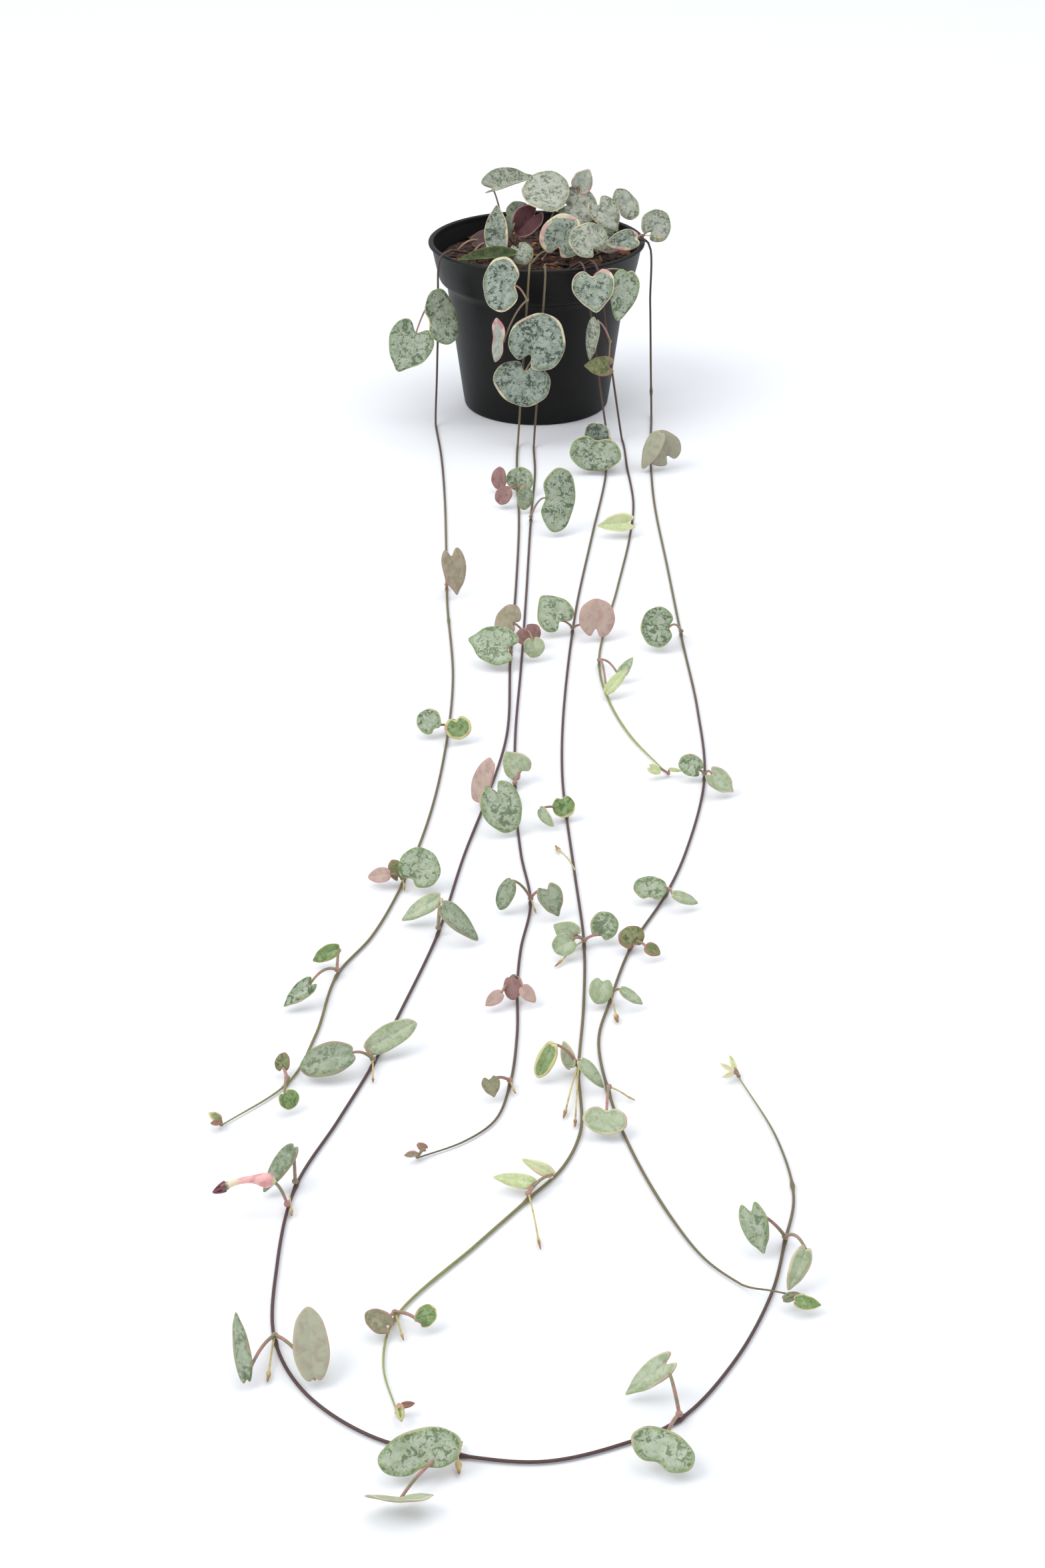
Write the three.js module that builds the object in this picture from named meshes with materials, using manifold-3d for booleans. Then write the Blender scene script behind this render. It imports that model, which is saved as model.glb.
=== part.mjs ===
// A potted string of hearts: a trailing succulent vine in a round nursery pot.
// Units are millimetres, +Z is up. The origin is the centre of the pot's foot, on the surface
// that the pot stands on. Six stems climb out of the soil, hang over the rim, reach the surface
// beside the pot and trail along it towards -Y. Heart-shaped leaves sit on them in pairs.

import * as THREE from 'three';
import { mergeVertices } from 'three/addons/utils/BufferGeometryUtils.js';
import Module from 'manifold-3d';

const wasm = await Module();
wasm.setup();

// Pot
const potHeight = 78;
const footRadius = 34;          // outside, at the surface
const rimRadius = 50;           // outside of the lip
const lipReach = 1.4;           // lip beyond the band under it
const lipWidth = 2.4;           // across the top of the lip
const lipHeight = 1.6;
const bandTaper = 3.6;          // rim band's top beyond its foot
const bandStep = 3;             // rim band's foot beyond the wall under it
const bandHeight = 18;
const wall = 1.2;
const potFloor = 1.6;
const potSides = 40;
const drainHoles = 6;
const drainRadius = 3.5;
const drainInset = 6;           // from the foot's edge to the middle of a drain hole
const drainSides = 8;

// Soil
const soilDrop = 9;             // soil edge below the rim
const soilMound = 1.5;          // middle of the soil above its edge
const soilSides = 30;

// Plant
const stemRadius = 0.6;
const stemSides = 6;
const stemStep = 14;            // along a trailing stem, between two rings of its tube
const rimStep = 4;              // the same where it bends over the rim
const gap = 0.3;                // between two pieces that touch
const insideShare = 0.6;        // of a stem's way from its root to the rim, where it nears the lip
const insideDrop = 0.9;         // a stem there, below the rim
const lipClimb = 0.6;           // a stem's rise over the lip's inner edge
const hangGap = 1.6;            // between the lip and a stem that hangs beside it
const hangBend = 0.4;           // a stem's start down, inside the line it hangs on
const hangDrop = 0.2;           // the same, below the rim
const hangShares = [0.66, 0.3]; // of the pot's height, where a hanging stem's points are
const rimLeafDrop = 1;          // middle of a leaf beside the lip, below the rim, counted from its bead
const stalkRadius = 0.45;
const stalkSides = 3;
const stalkSteps = 2;
const stalkArch = 0.28;         // rise of a leaf stalk, as a share of its length
const beadRadius = 0.9;         // the swelling that two stalks spring from
const bladeThickness = 1.3;
const bladePoints = 10;
const notchDepth = 0.16;        // of the blade's length
const tipReach = 0.08;          // of the blade's length
const lobeBulge = 0.14;         // how much wider the leaf is towards its stalk
const bladeRest = 2 * stemRadius + 2 * gap;   // lowest edge of a blade above the surface

// Flower
const flowerLength = 16;
const flowerBulb = 2.1;
const flowerTube = 0.9;
const flowerSides = 8;

const { degToRad, lerp } = THREE.MathUtils;
const up = new THREE.Vector3(0, 0, 1);

const finishes = {
  pot: { color: 0x1f2022, roughness: 0.42, metalness: 0 },
  soil: { color: 0x2c1d14, roughness: 0.95, metalness: 0 },
  stem: { color: 0x5a3d35, roughness: 0.55, metalness: 0 },
  leaf: { color: 0x7f9376, roughness: 0.5, metalness: 0 },
  flower: { color: 0xc58d86, roughness: 0.5, metalness: 0 },
};

const plant = new THREE.Group();

function addMesh(name, geometry, finish) {
  const mesh = new THREE.Mesh(geometry, new THREE.MeshStandardMaterial(finishes[finish]));
  mesh.name = name;
  plant.add(mesh);
}

// Closed solids to and from the boolean library

function toSolid(geometry) {
  const bare = geometry.clone();
  bare.deleteAttribute('normal');
  bare.deleteAttribute('uv');
  const merged = mergeVertices(bare, 1e-4);
  return new wasm.Manifold(new wasm.Mesh({
    numProp: 3,
    vertProperties: Float32Array.from(merged.attributes.position.array),
    triVerts: Uint32Array.from(merged.index.array),
  }));
}

function toGeometry(solid) {
  const { vertProperties, triVerts } = solid.getMesh();
  const geometry = new THREE.BufferGeometry();
  geometry.setAttribute('position', new THREE.BufferAttribute(Float32Array.from(vertProperties), 3));
  geometry.setIndex(new THREE.BufferAttribute(Uint32Array.from(triVerts), 1));
  return geometry;
}

// A round bar along a curve
function bar(curve, radius, sides, steps) {
  const section = new THREE.Shape();
  for (let i = 0; i < sides; i++) {
    const angle = ((i + 0.5) / sides) * 2 * Math.PI;
    section[i ? 'lineTo' : 'moveTo'](radius * Math.cos(angle), radius * Math.sin(angle));
  }
  return new THREE.ExtrudeGeometry(section, { steps, bevelEnabled: false, extrudePath: curve });
}

// Pot: a thin tapered wall with a wider rim band, and drain holes round the edge of its foot

const bandTopRadius = rimRadius - lipReach;
const bandFootRadius = bandTopRadius - bandTaper;
const wallTopRadius = bandFootRadius - bandStep;
const bandFoot = potHeight - bandHeight;
const insideFootRadius = footRadius - wall;

function insideRadius(z) {
  if (z < bandFoot) return lerp(insideFootRadius, wallTopRadius - wall, z / bandFoot);
  return lerp(bandFootRadius - wall, bandTopRadius - wall, (z - bandFoot) / (bandHeight - lipHeight));
}

function potSolid() {
  const plateRadius = 0.7 * footRadius;
  const lipFoot = potHeight - lipHeight;
  const wallRing = new THREE.LatheGeometry([
    [plateRadius, 0], [footRadius, 0], [wallTopRadius, bandFoot], [bandFootRadius, bandFoot],
    [bandTopRadius, lipFoot], [rimRadius, lipFoot + 0.4], [rimRadius, potHeight],
    [rimRadius - lipWidth, potHeight], [bandTopRadius - wall, lipFoot],
    [bandFootRadius - wall, bandFoot + wall], [wallTopRadius - wall, bandFoot],
    [insideRadius(potFloor), potFloor], [plateRadius, potFloor], [plateRadius, 0],
  ].map(([r, z]) => new THREE.Vector2(r, z)), potSides);
  wallRing.rotateX(Math.PI / 2);
  const disc = new THREE.Shape().absarc(0, 0, plateRadius + wall, 0, 2 * Math.PI);
  const plate = new THREE.ExtrudeGeometry(disc, {
    depth: potFloor, bevelEnabled: false, curveSegments: potSides / 2,
  });
  let pot = toSolid(wallRing).add(toSolid(plate));
  for (let i = 0; i < drainHoles; i++) {
    const angle = ((i + 0.5) / drainHoles) * 2 * Math.PI;
    const drill = new THREE.CylinderGeometry(drainRadius, drainRadius, 4 * potFloor, drainSides);
    drill.rotateX(Math.PI / 2);
    const reach = footRadius - drainInset;
    drill.translate(reach * Math.cos(angle), reach * Math.sin(angle), 0);
    pot = pot.subtract(toSolid(drill));
  }
  return pot;
}

addMesh('pot', toGeometry(potSolid()), 'pot');

// Soil: fills the pot to just below its rim band's top, slightly mounded

const soilTop = potHeight - soilDrop;
const soilHeight = (radius) => soilTop + soilMound * (1 - radius / insideRadius(soilTop));

function soilGeometry() {
  const foot = potFloor + gap;
  const halfway = insideRadius(soilTop) / 2;
  const soil = new THREE.LatheGeometry([
    [0, foot], [insideRadius(foot) - gap, foot], [insideRadius(bandFoot - gap) - gap, bandFoot - gap],
    [insideRadius(soilTop) - wall, soilTop], [halfway, soilHeight(halfway)], [0, soilHeight(0)],
  ].map(([r, z]) => new THREE.Vector2(r, z)), soilSides);
  return soil.rotateX(Math.PI / 2);
}

addMesh('soil', soilGeometry(), 'soil');

// Stems: out of the soil, over the rim, down beside the pot and along the surface.
// root is where a stem leaves the soil and rimAngle where it crosses the rim. landing leads from
// under the rim to where it touches the surface. trail is its way along the surface: x, y, and
// the height of its middle where it lies on another stem.

const LIP = 3;         // places along every stem: over the lip,
const HANG = 4;        // beside the wall, high
const FLOOR = 7;       // and the first point of its trail

const stems = {
  left: {
    root: [-32, 3], rimAngle: -147, landing: [-3, -6],
    trail: [[-43, -75], [-40, -125], [-38, -175], [-36, -232], [-32, -300], [-33, -352], [-37, -402],
      [-44, -445], [-52, -476], [-61, -497], [-65, -528], [-71, -551], [-87, -570]],
  },
  long: {
    root: [-1, -12], rimAngle: -94, landing: [-5, -9],
    trail: [[-9, -95], [-8, -150], [-9, -215], [-11, -285], [-12, -345], [-18, -388], [-25, -427],
      [-32, -474], [-41, -514], [-48, -542], [-56, -568], [-65, -596], [-67, -627], [-65, -654],
      [-56, -672], [-39, -686], [-21, -691], [-2, -693], [15, -688], [29, -680], [43, -661],
      [54, -637], [59, -618], [63, -600], [61, -576], [53, -548]],
  },
  centre: {
    root: [9, -19], rimAngle: -86, landing: [-5, -10],
    trail: [[-1, -95], [-3, -150], [-5, -225], [-7, -290], [-9, -345], [-9, -387], [-7, -427],
      [-4, -457], [-7, -483], [-8, -502], [-8, -527], [-10, -552], [-14, -568], [-22, -577], [-34, -584]],
  },
  short: {
    root: [17, -22], rimAngle: -59, landing: [12, -9],
    trail: [[40, -89], [41, -131], [38, -168], [31, -220], [22, -285], [24, -315], [31, -345], [43, -374]],
  },
  middle: {
    root: [12, -27], rimAngle: -66, landing: [11, -9],
    trail: [[30, -100], [22, -170], [14, -243], [8, -330], [7, -375], [8, -403], [10, -440],
      [12, -481], [11, -515], [9, -545], [9, -572], [4, -588], [-5, -601], [-18, -619], [-37, -646],
      [-39, -662], [-35, -678]],
  },
  right: {
    root: [24, -5], rimAngle: -7, landing: [2, -17],
    trail: [[51, -75], [50, -130], [52, -200], [54, -270], [56, -325], [55, -377], [46, -425],
      [38, -452], [26, -482], [19, -510], [15, -530], [17, -555], [22, -580], [31, -608],
      [39, -625], [47, -634], [54, -640, 4], [61, -641, 3]],
  },
};

const lie = stemRadius + gap / 2;      // height of a stem's middle where it lies on the surface

// A smooth curve through a stem's points that never dips below the surface
class StemCurve extends THREE.CatmullRomCurve3 {
  constructor({ root, rimAngle, landing, trail }) {
    const outward = new THREE.Vector3(Math.cos(degToRad(rimAngle)), Math.sin(degToRad(rimAngle)), 0);
    const at = (radius, z) => outward.clone().multiplyScalar(radius).setZ(z);
    const over = potHeight + stemRadius + 2 * gap;
    const hang = rimRadius + stemRadius + hangGap;
    const land = at(hang, 0).add(new THREE.Vector3(...landing, 0));
    const beside = (share) => at(hang, 0).lerp(land, 1 - share).setZ(potHeight * share);
    const foot = new THREE.Vector3(...root, soilHeight(Math.hypot(...root)) + 2 * gap + stemRadius);
    const inside = foot.clone().lerp(at(rimRadius, 0), insideShare).setZ(potHeight - insideDrop);
    super([
      foot, inside,
      at(rimRadius - lipWidth, over + lipClimb),
      at(hang - hangBend, potHeight - hangDrop),
      ...hangShares.map(beside),
      land.setZ(lie),
      ...trail.map(([x, y, z = lie]) => new THREE.Vector3(x, y, z)),
    ], false, 'centripetal');
  }

  getPoint(t, target) {
    const point = super.getPoint(t, target);
    point.z = Math.max(point.z, lie);
    return point;
  }

  // The point and direction at a place counted in points along the stem
  place(index) {
    const t = index / (this.points.length - 1);
    return { point: this.getPoint(t), along: this.getTangent(t) };
  }
}

// Part of a stem between two places along it
class Stretch extends THREE.Curve {
  constructor(curve, from, to) {
    super();
    this.curve = curve;
    this.from = from / (curve.points.length - 1);
    this.to = to / (curve.points.length - 1);
  }

  getPoint(t) {
    return this.curve.getPoint(lerp(this.from, this.to, t));
  }

  tube(step) {
    return toSolid(bar(this, stemRadius, stemSides, Math.ceil(this.getLength() / step)));
  }
}

const curves = {};
for (const [name, stem] of Object.entries(stems)) {
  const curve = new StemCurve(stem);
  curves[name] = curve;
  const overRim = new Stretch(curve, 0, HANG + 0.05);
  const below = new Stretch(curve, HANG, curve.points.length - 1);
  addMesh(`stem_${name}`, toGeometry(overRim.tube(rimStep).add(below.tube(stemStep))), 'stem');
}

// Leaves. A leaf is written as [[x, y, z], [turn, face, yaw], [length, width]]:
// x, y and z lead from its stem to the middle of its blade. face is how far the blade's face
// looks up, 0 to the front and 90 straight up, yaw turns that look to the right, and turn is
// where the tip points in the blade's own plane: 0 up, 90 right and 180 down.

function bladeOutline(length, width) {
  const outline = new THREE.Shape();
  for (let i = 0; i < bladePoints; i++) {
    const angle = (i / bladePoints) * 2 * Math.PI;
    const fromTip = Math.min(angle, 2 * Math.PI - angle);
    const notch = notchDepth * Math.exp(-(((Math.PI - fromTip) / 0.4) ** 2));
    const tip = tipReach * Math.exp(-((fromTip / 0.5) ** 2));
    const x = 0.5 * width * Math.sin(angle) * (1 - lobeBulge * Math.cos(angle));
    const y = length * (0.5 * Math.cos(angle) + tip + notch);
    outline[i ? 'lineTo' : 'moveTo'](x, y);
  }
  return outline;
}

function leafSolid(start, origin, [offset, [turn, face, yaw], [length, width]]) {
  const blade = new THREE.ExtrudeGeometry(bladeOutline(length, width), {
    depth: bladeThickness, bevelEnabled: false,
  });
  blade.translate(0, 0, -bladeThickness / 2);
  const pose = new THREE.Matrix4().makeRotationZ(degToRad(yaw))
    .multiply(new THREE.Matrix4().makeRotationX(degToRad(90 - face)))
    .multiply(new THREE.Matrix4().makeRotationZ(degToRad(-turn)));
  blade.applyMatrix4(pose);
  const middle = origin.clone().add(new THREE.Vector3(...offset));
  blade.computeBoundingBox();
  middle.z = Math.max(middle.z, bladeRest - blade.boundingBox.min.z);
  blade.translate(...middle);
  const inBlade = (share) => new THREE.Vector3(0, share * length, 0).applyMatrix4(pose).add(middle);
  const notch = inBlade(notchDepth - 0.5);
  const bend = start.clone().lerp(notch, 0.5).addScaledVector(up, stalkArch * start.distanceTo(notch));
  const stalk = new THREE.QuadraticBezierCurve3(start, bend, inBlade(2 * notchDepth - 0.5));
  return toSolid(blade).add(toSolid(bar(stalk, stalkRadius, stalkSides, stalkSteps)));
}

// A swelling with one or two leaves on it, in one piece
function leafPair(start, origin, leaves) {
  const bead = new THREE.OctahedronGeometry(beadRadius).translate(...start);
  return leaves.reduce((pair, leaf) => pair.add(leafSolid(start, origin, leaf)), toSolid(bead));
}

// The bead sits on top of a lying stem, and on the outer side of a hanging one
function beadOn({ point, along }) {
  const outward = point.clone().setZ(0).normalize();
  const side = Math.abs(along.z) > 0.5 ? outward : up;
  return point.clone().addScaledVector(side, stemRadius + gap + beadRadius);
}

const pairs = {
  left: [
    [HANG - 0.3, [[[1, -5, -8], [185, 12, 30], [25, 16]], [[-13, -5, -21], [188, 15, -12], [23, 20]]]],
    [FLOOR + 2.8, [[[3, -6, 0], [182, 20, 35], [18, 11]]]],
    [FLOOR + 4.8, [[[-6.5, -3, 0], [-15, 35, -20], [10.5, 8]], [[3.5, -7, 0], [170, 40, 10], [8.5, 10]]]],
    [FLOOR + 7, [[[5.5, -2, 0], [-8, 35, 0], [14, 12]], [[-7, -1, 0], [-110, 40, -30], [8, 5]],
      [[-2, 1, 2], [-20, 35, 0], [7, 5]]]],
    [FLOOR + 9, [[[-3, 5, 2], [55, 32, -20], [9.5, 5]], [[-9, -16, 0], [-140, 50, -15], [11, 5.5]]]],
    [FLOOR + 11, [[[-1.5, 5, 0], [-10, 40, -20], [5.5, 4.5]], [[1.5, -12, 0], [165, 45, 30], [5.5, 6]]]],
  ],
  long: [
    [HANG - 0.5, [[[-11, -4, 8], [185, 15, -20], [24, 18]], [[-12.5, -4, -17.5], [180, 5, -60], [20, 12]]]],
    [FLOOR + 0.5, [[[-8, 5, 0], [-12, 25, -20], [10, 7]], [[1, 2, 0], [25, 30, 0], [11, 12]],
      [[-6, -13, 0], [-150, 30, -20], [8.5, 7.5]], [[3, -18, 0], [190, 25, 10], [10, 7]]]],
    [FLOOR + 2.95, [[[-5.5, -6, 0], [-55, 42, -10], [16, 17]]]],
    [FLOOR + 5.2, [[[0, 1, 2], [192, 20, -55], [17, 9.5]], [[6, -16, 2], [175, 30, 10], [18, 12.5]]]],
    [FLOOR + 7, [[[-4.5, 6, 5], [-138, 48, -30], [14, 6]], [[6, -4, 3], [148, 42, 25], [15.5, 6.5]]]],
    [FLOOR + 9, [[[4.5, 6, 4], [66, 40, 10], [17, 7]], [[-12, -5, 2], [-112, 48, -10], [16, 9.5]]]],
    [FLOOR + 11, [[[-3.5, 0, 2], [-158, 45, -20], [14, 5]]]],
    [FLOOR + 13, [[[-6.5, -10, 1], [168, 50, 0], [16, 4]], [[9.5, -9, 0], [172, 50, 0], [17.5, 8.5]]]],
    [FLOOR + 16, [[[-8, -4.5, 0], [-8, 42, 0], [9.5, 19]], [[-12, -17, 0], [180, 130, 0], [7, 15]]]],
    [FLOOR + 19, [[[-5.5, 8, 0], [-150, 45, -40], [14, 6]], [[-4.5, -14, 0], [115, 55, 0], [15, 9]]]],
    [FLOOR + 22, [[[-8, -2, 0], [155, 30, -15], [12.5, 7]], [[1.5, -16, 5], [-150, 35, 10], [11, 5]]]],
  ],
  centre: [
    [HANG + 0.3, [[[-1, -6, 7], [30, 15, 0], [25, 25.5]], [[-8, -6, -12.5], [192, 18, -5], [20, 26]]]],
    [FLOOR + 1, [[[11, -11, 3], [10, 15, 10], [27, 15]]]],
    [FLOOR + 2.6, [[[-6, 1, 1], [-60, 35, 0], [9, 13]], [[2, -9, 0], [150, 35, 0], [8, 10]],
      [[4, -19, 0], [170, 35, 0], [8, 8]]]],
    [FLOOR + 4.9, [[[0.5, 5, 0], [10, 35, 0], [10, 9.5]]]],
    [FLOOR + 7, [[[-7.5, -4, 0], [-170, 30, -30], [10.5, 6]], [[6, -7, 0], [165, 35, 20], [10, 8]]]],
    [FLOOR + 9, [[[-6.5, -12, 0], [-130, 50, 0], [6, 4]], [[-1.5, -8, 0], [170, 45, 0], [7, 5]],
      [[3, -10, 0], [140, 45, 0], [6, 4]]]],
    [FLOOR + 11, [[[-5, -5, 0], [165, 45, 0], [5.5, 5]]]],
  ],
  short: [
    [LIP + 0.1, [[[-2, -8, -5], [150, 20, -10], [17, 19]], [[11, -6, -8], [185, 10, 25], [22, 14]]]],
    [HANG + 0.2, [[[-7, -9, 4], [190, 5, -55], [20, 9]], [[-3, -9, -9], [180, 20, 0], [9, 13]]]],
    [FLOOR + 1.6, [[[-6, -12, 0], [175, 40, 0], [8.5, 15]]]],
    [FLOOR + 4.1, [[[9, -13, 0], [35, 35, 0], [9, 4]], [[5, -25, 0], [40, 45, 0], [12, 4.5]]]],
  ],
  middle: [
    [FLOOR - 0.4, [[[-3, -8, 5], [60, 20, -5], [14, 21]], [[-6, -14, 0], [185, 25, -5], [16, 23]]]],
    [FLOOR + 2.2, [[[-7, 0, 0], [-40, 30, -5], [14, 14]], [[9, -4, 0], [35, 30, 10], [15, 12.5]]]],
    [FLOOR + 5, [[[-1, -1, 0], [165, 35, 0], [7.5, 7.5]], [[-7, -6, 0], [120, 25, -40], [8, 4]]]],
    [FLOOR + 7, [[[6, 3, 2], [20, 35, 0], [9, 8.5]], [[-5, 0, 1], [-60, 35, 0], [8, 7]],
      [[-6, -6, 0], [-120, 40, 0], [7.5, 7]]]],
    [FLOOR + 9, [[[-9, -3, 1], [-165, 35, -20], [11, 5.5]], [[-3, 1, 1], [-30, 40, -20], [8, 4]],
      [[3, -8, 0], [150, 40, 20], [10, 4]]]],
    [FLOOR + 12, [[[3, 8, 1], [-50, 50, 20], [9, 3.5]], [[-3, 4, 1], [-80, 60, 0], [11, 4]]]],
    [FLOOR + 14, [[[-3.5, -5, 0], [-60, 50, 0], [7.5, 5.5]], [[7.5, -3, 0], [40, 50, 0], [6, 5]]]],
  ],
  right: [
    [LIP - 0.7, [[[6, 2, 6], [70, 20, 20], [15, 15]], [[-9, -6, 1], [-100, 35, 0], [15, 10]]]],
    [FLOOR + 0.1, [[[4.5, -8, 2], [20, 15, 10], [16, 16]], [[0, -12, 0], [195, 25, -40], [18, 9]]]],
    [FLOOR + 2.9, [[[-9.5, -10, 0], [170, 30, -15], [15.5, 12.5]]]],
    [FLOOR + 5, [[[-4.5, 1, 1], [-60, 35, 0], [9, 7.5]], [[4, -10, 0], [140, 45, 20], [10.5, 8]]]],
    [FLOOR + 7, [[[-5, -3, 1], [-85, 45, 0], [10.5, 8]], [[5, -8, 0], [125, 45, 30], [9, 4]]]],
    [FLOOR + 8, [[[0, -1, 1], [-20, 40, 0], [7, 8]], [[6, -6, 0], [120, 45, 0], [5, 4]]]],
    [FLOOR + 9, [[[-3, -2, 0], [-170, 40, 0], [8, 7]], [[5.5, -4, 0], [140, 45, 30], [8, 3.5]]]],
    [FLOOR + 11, [[[-1.5, -18, 0], [188, 55, 0], [8, 12]]]],
  ],
};

for (const [name, list] of Object.entries(pairs)) {
  list.forEach(([index, leaves], i) => {
    const place = curves[name].place(index);
    const pair = leafPair(beadOn(place), place.point, leaves);
    addMesh(`leaves_${name}_${i + 1}`, toGeometry(pair), 'leaf');
  });
}

// Crown: short shoots that rise from the soil at x, y and end in one or two leaves

const shoots = [
  [[-14, 10], [[[-0.5, -2, 31], [68, 50, 0], [25, 13]], [[-4, -14, 11], [-12, 25, -20], [22, 10]]]],
  [[2, 10], [[[2, -9, 28], [150, 55, 10], [20, 24]], [[-6, -8, 14], [-140, 30, -10], [16, 15]]]],
  [[15, 2], [[[4, 3, 21], [140, 45, 20], [18, 18]], [[6, 7, 31], [40, 25, 20], [12, 10]]]],
  [[27, 6], [[[4, -8, 20], [110, 40, 20], [17, 15]], [[14, 3, 21], [70, 35, 30], [13, 16]]]],
  [[25, -14], [[[-2, -8, 13], [165, 40, 5], [17, 18]]]],
  [[3, -9], [[[10, -5, 12], [190, 15, -20], [21, 18]]]],
  [[-20, 18], [[[-3, -6, 3], [-70, 65, -10], [16, 15]]]],
  [[-12, -18], [[[-9, -12, soilDrop - rimLeafDrop], [-95, 60, 0], [26, 8]],
    [[5, -9, soilDrop - rimLeafDrop], [160, 40, 10], [11, 11]]]],
];

shoots.forEach(([[x, y], leaves], i) => {
  const ground = soilHeight(Math.hypot(x, y));
  const start = new THREE.Vector3(x, y, ground + gap + beadRadius);
  addMesh(`crown_leaves_${i + 1}`, toGeometry(leafPair(start, start, leaves)), 'leaf');
});

// Flower: a lantern with a round foot and a slim tube, on a stalk beside the long stem

function flowerSolid() {
  const place = curves.long.place(FLOOR + 11.3);
  const start = beadOn(place);
  const foot = start.clone().add(new THREE.Vector3(-2.5, 0, 7));
  const along = new THREE.Vector3(-0.96, -0.1, -0.12).normalize();
  const profile = [[0, 0], [flowerTube, 0.06], [flowerBulb, 0.2], [0.9 * flowerBulb, 0.3],
    [flowerTube, 0.45], [flowerTube, 0.72], [1.5 * flowerTube, 0.8], [flowerTube, 0.92], [0, 1]];
  const lantern = new THREE.LatheGeometry(
    profile.map(([r, share]) => new THREE.Vector2(r, share * flowerLength)), flowerSides);
  lantern.applyQuaternion(new THREE.Quaternion().setFromUnitVectors(new THREE.Vector3(0, 1, 0), along));
  lantern.translate(...foot);
  const bend = start.clone().lerp(foot, 0.5).addScaledVector(up, 2);
  const inside = foot.clone().addScaledVector(along, 0.1 * flowerLength);
  const stalk = bar(new THREE.QuadraticBezierCurve3(start, bend, inside), stalkRadius, stalkSides, 3);
  const bead = new THREE.OctahedronGeometry(beadRadius).translate(...start);
  return toSolid(lantern).add(toSolid(stalk)).add(toSolid(bead));
}

addMesh('flower', toGeometry(flowerSolid()), 'flower');

export default plant;
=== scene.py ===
"""A potted string of hearts: black nursery pot, soil, six trailing stems, leaves and a flower.

The pieces' lengths are written in millimetres and turned to metres when a piece is made. The
studio's are in metres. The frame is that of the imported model: the origin under the pot's foot,
+Z up, the stems trailing towards -Y.
"""

import logging
import math
from dataclasses import dataclass, field
from enum import Enum
from typing import Iterable, Sequence

import bmesh
import bpy
import numpy as np
from mathutils import Matrix, Vector, noise


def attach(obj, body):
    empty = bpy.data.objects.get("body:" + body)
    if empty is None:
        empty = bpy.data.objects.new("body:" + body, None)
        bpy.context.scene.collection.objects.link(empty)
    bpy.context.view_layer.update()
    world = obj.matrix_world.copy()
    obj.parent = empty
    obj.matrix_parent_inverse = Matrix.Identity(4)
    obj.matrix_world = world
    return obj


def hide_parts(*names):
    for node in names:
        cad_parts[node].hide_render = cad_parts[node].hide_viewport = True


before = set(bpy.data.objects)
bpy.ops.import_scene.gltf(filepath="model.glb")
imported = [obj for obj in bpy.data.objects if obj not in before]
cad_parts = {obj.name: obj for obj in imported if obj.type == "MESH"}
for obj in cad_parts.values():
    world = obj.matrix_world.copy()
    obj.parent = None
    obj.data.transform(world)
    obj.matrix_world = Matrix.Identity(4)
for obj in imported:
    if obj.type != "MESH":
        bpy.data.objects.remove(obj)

log = logging.getLogger("string_of_hearts")
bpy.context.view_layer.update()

MM = 0.001
PER_MM = 1000.0
TAU = 2 * math.pi

# Sizes shared with the solids
POT_HEIGHT = 78.0
FOOT_RADIUS = 34.0
RIM_RADIUS = 50.0
LIP_REACH = 1.4
LIP_WIDTH = 2.4
LIP_HEIGHT = 1.6
BAND_TAPER = 3.6
BAND_STEP = 3.0
BAND_HEIGHT = 18.0
WALL = 1.2
POT_FLOOR = 1.6
DRAIN_HOLES = 6
DRAIN_RADIUS = 3.5
DRAIN_INSET = 6.0
FLOOR_LIFT = 0.5
HUB_RADIUS = 4.0
HUB_OVERLAP = 0.05
NEAR_AXIS = 0.001
SOIL_DROP = 9.0
SOIL_MOUND = 1.5
STEM_RADIUS = 0.6
GAP = 0.3
INSIDE_SHARE = 0.6
INSIDE_DROP = 0.9
LIP_CLIMB = 0.6
HANG_GAP = 1.6
HANG_BEND = 0.4
HANG_DROP = 0.2
HANG_SHARES = (0.66, 0.3)
RIM_LEAF_DROP = 1.0
STALK_RADIUS = 0.45
STALK_ARCH = 0.28
BEAD_RADIUS = 0.9
BLADE_THICKNESS = 1.3
BLADE_REST = 2 * STEM_RADIUS + 2 * GAP
STEM_LOWEST = 0.05
BUD_LOWEST = 0.08
STALK_LOWEST = 0.2
LIE = STEM_RADIUS + GAP / 2
BAND_TOP_RADIUS = RIM_RADIUS - LIP_REACH
BAND_FOOT_RADIUS = BAND_TOP_RADIUS - BAND_TAPER
WALL_TOP_RADIUS = BAND_FOOT_RADIUS - BAND_STEP
BAND_FOOT = POT_HEIGHT - BAND_HEIGHT
SOIL_TOP = POT_HEIGHT - SOIL_DROP
RIM_LEAF_LIFT = SOIL_DROP - RIM_LEAF_DROP

# Places along every stem: over the lip, beside the wall, and the first point of its trail
LIP, HANG, FLOOR = 3, 4, 7

Colour = tuple[float, float, float, float]
Point = tuple[float, float, float]


def tone(red: int, green: int, blue: int) -> Colour:
    """Turns a screen colour into the linear one that a shader takes.

    Args:
        red: red, 0 to 255.
        green: green, 0 to 255.
        blue: blue, 0 to 255.

    Returns:
        The linear colour, with full alpha.
    """
    def linear(part: int) -> float:
        """Returns one channel in linear light."""
        share = part / 255
        return share / 12.92 if share <= 0.04045 else ((share + 0.055) / 1.055) ** 2.4

    return linear(red), linear(green), linear(blue), 1.0


# Shader building


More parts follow.
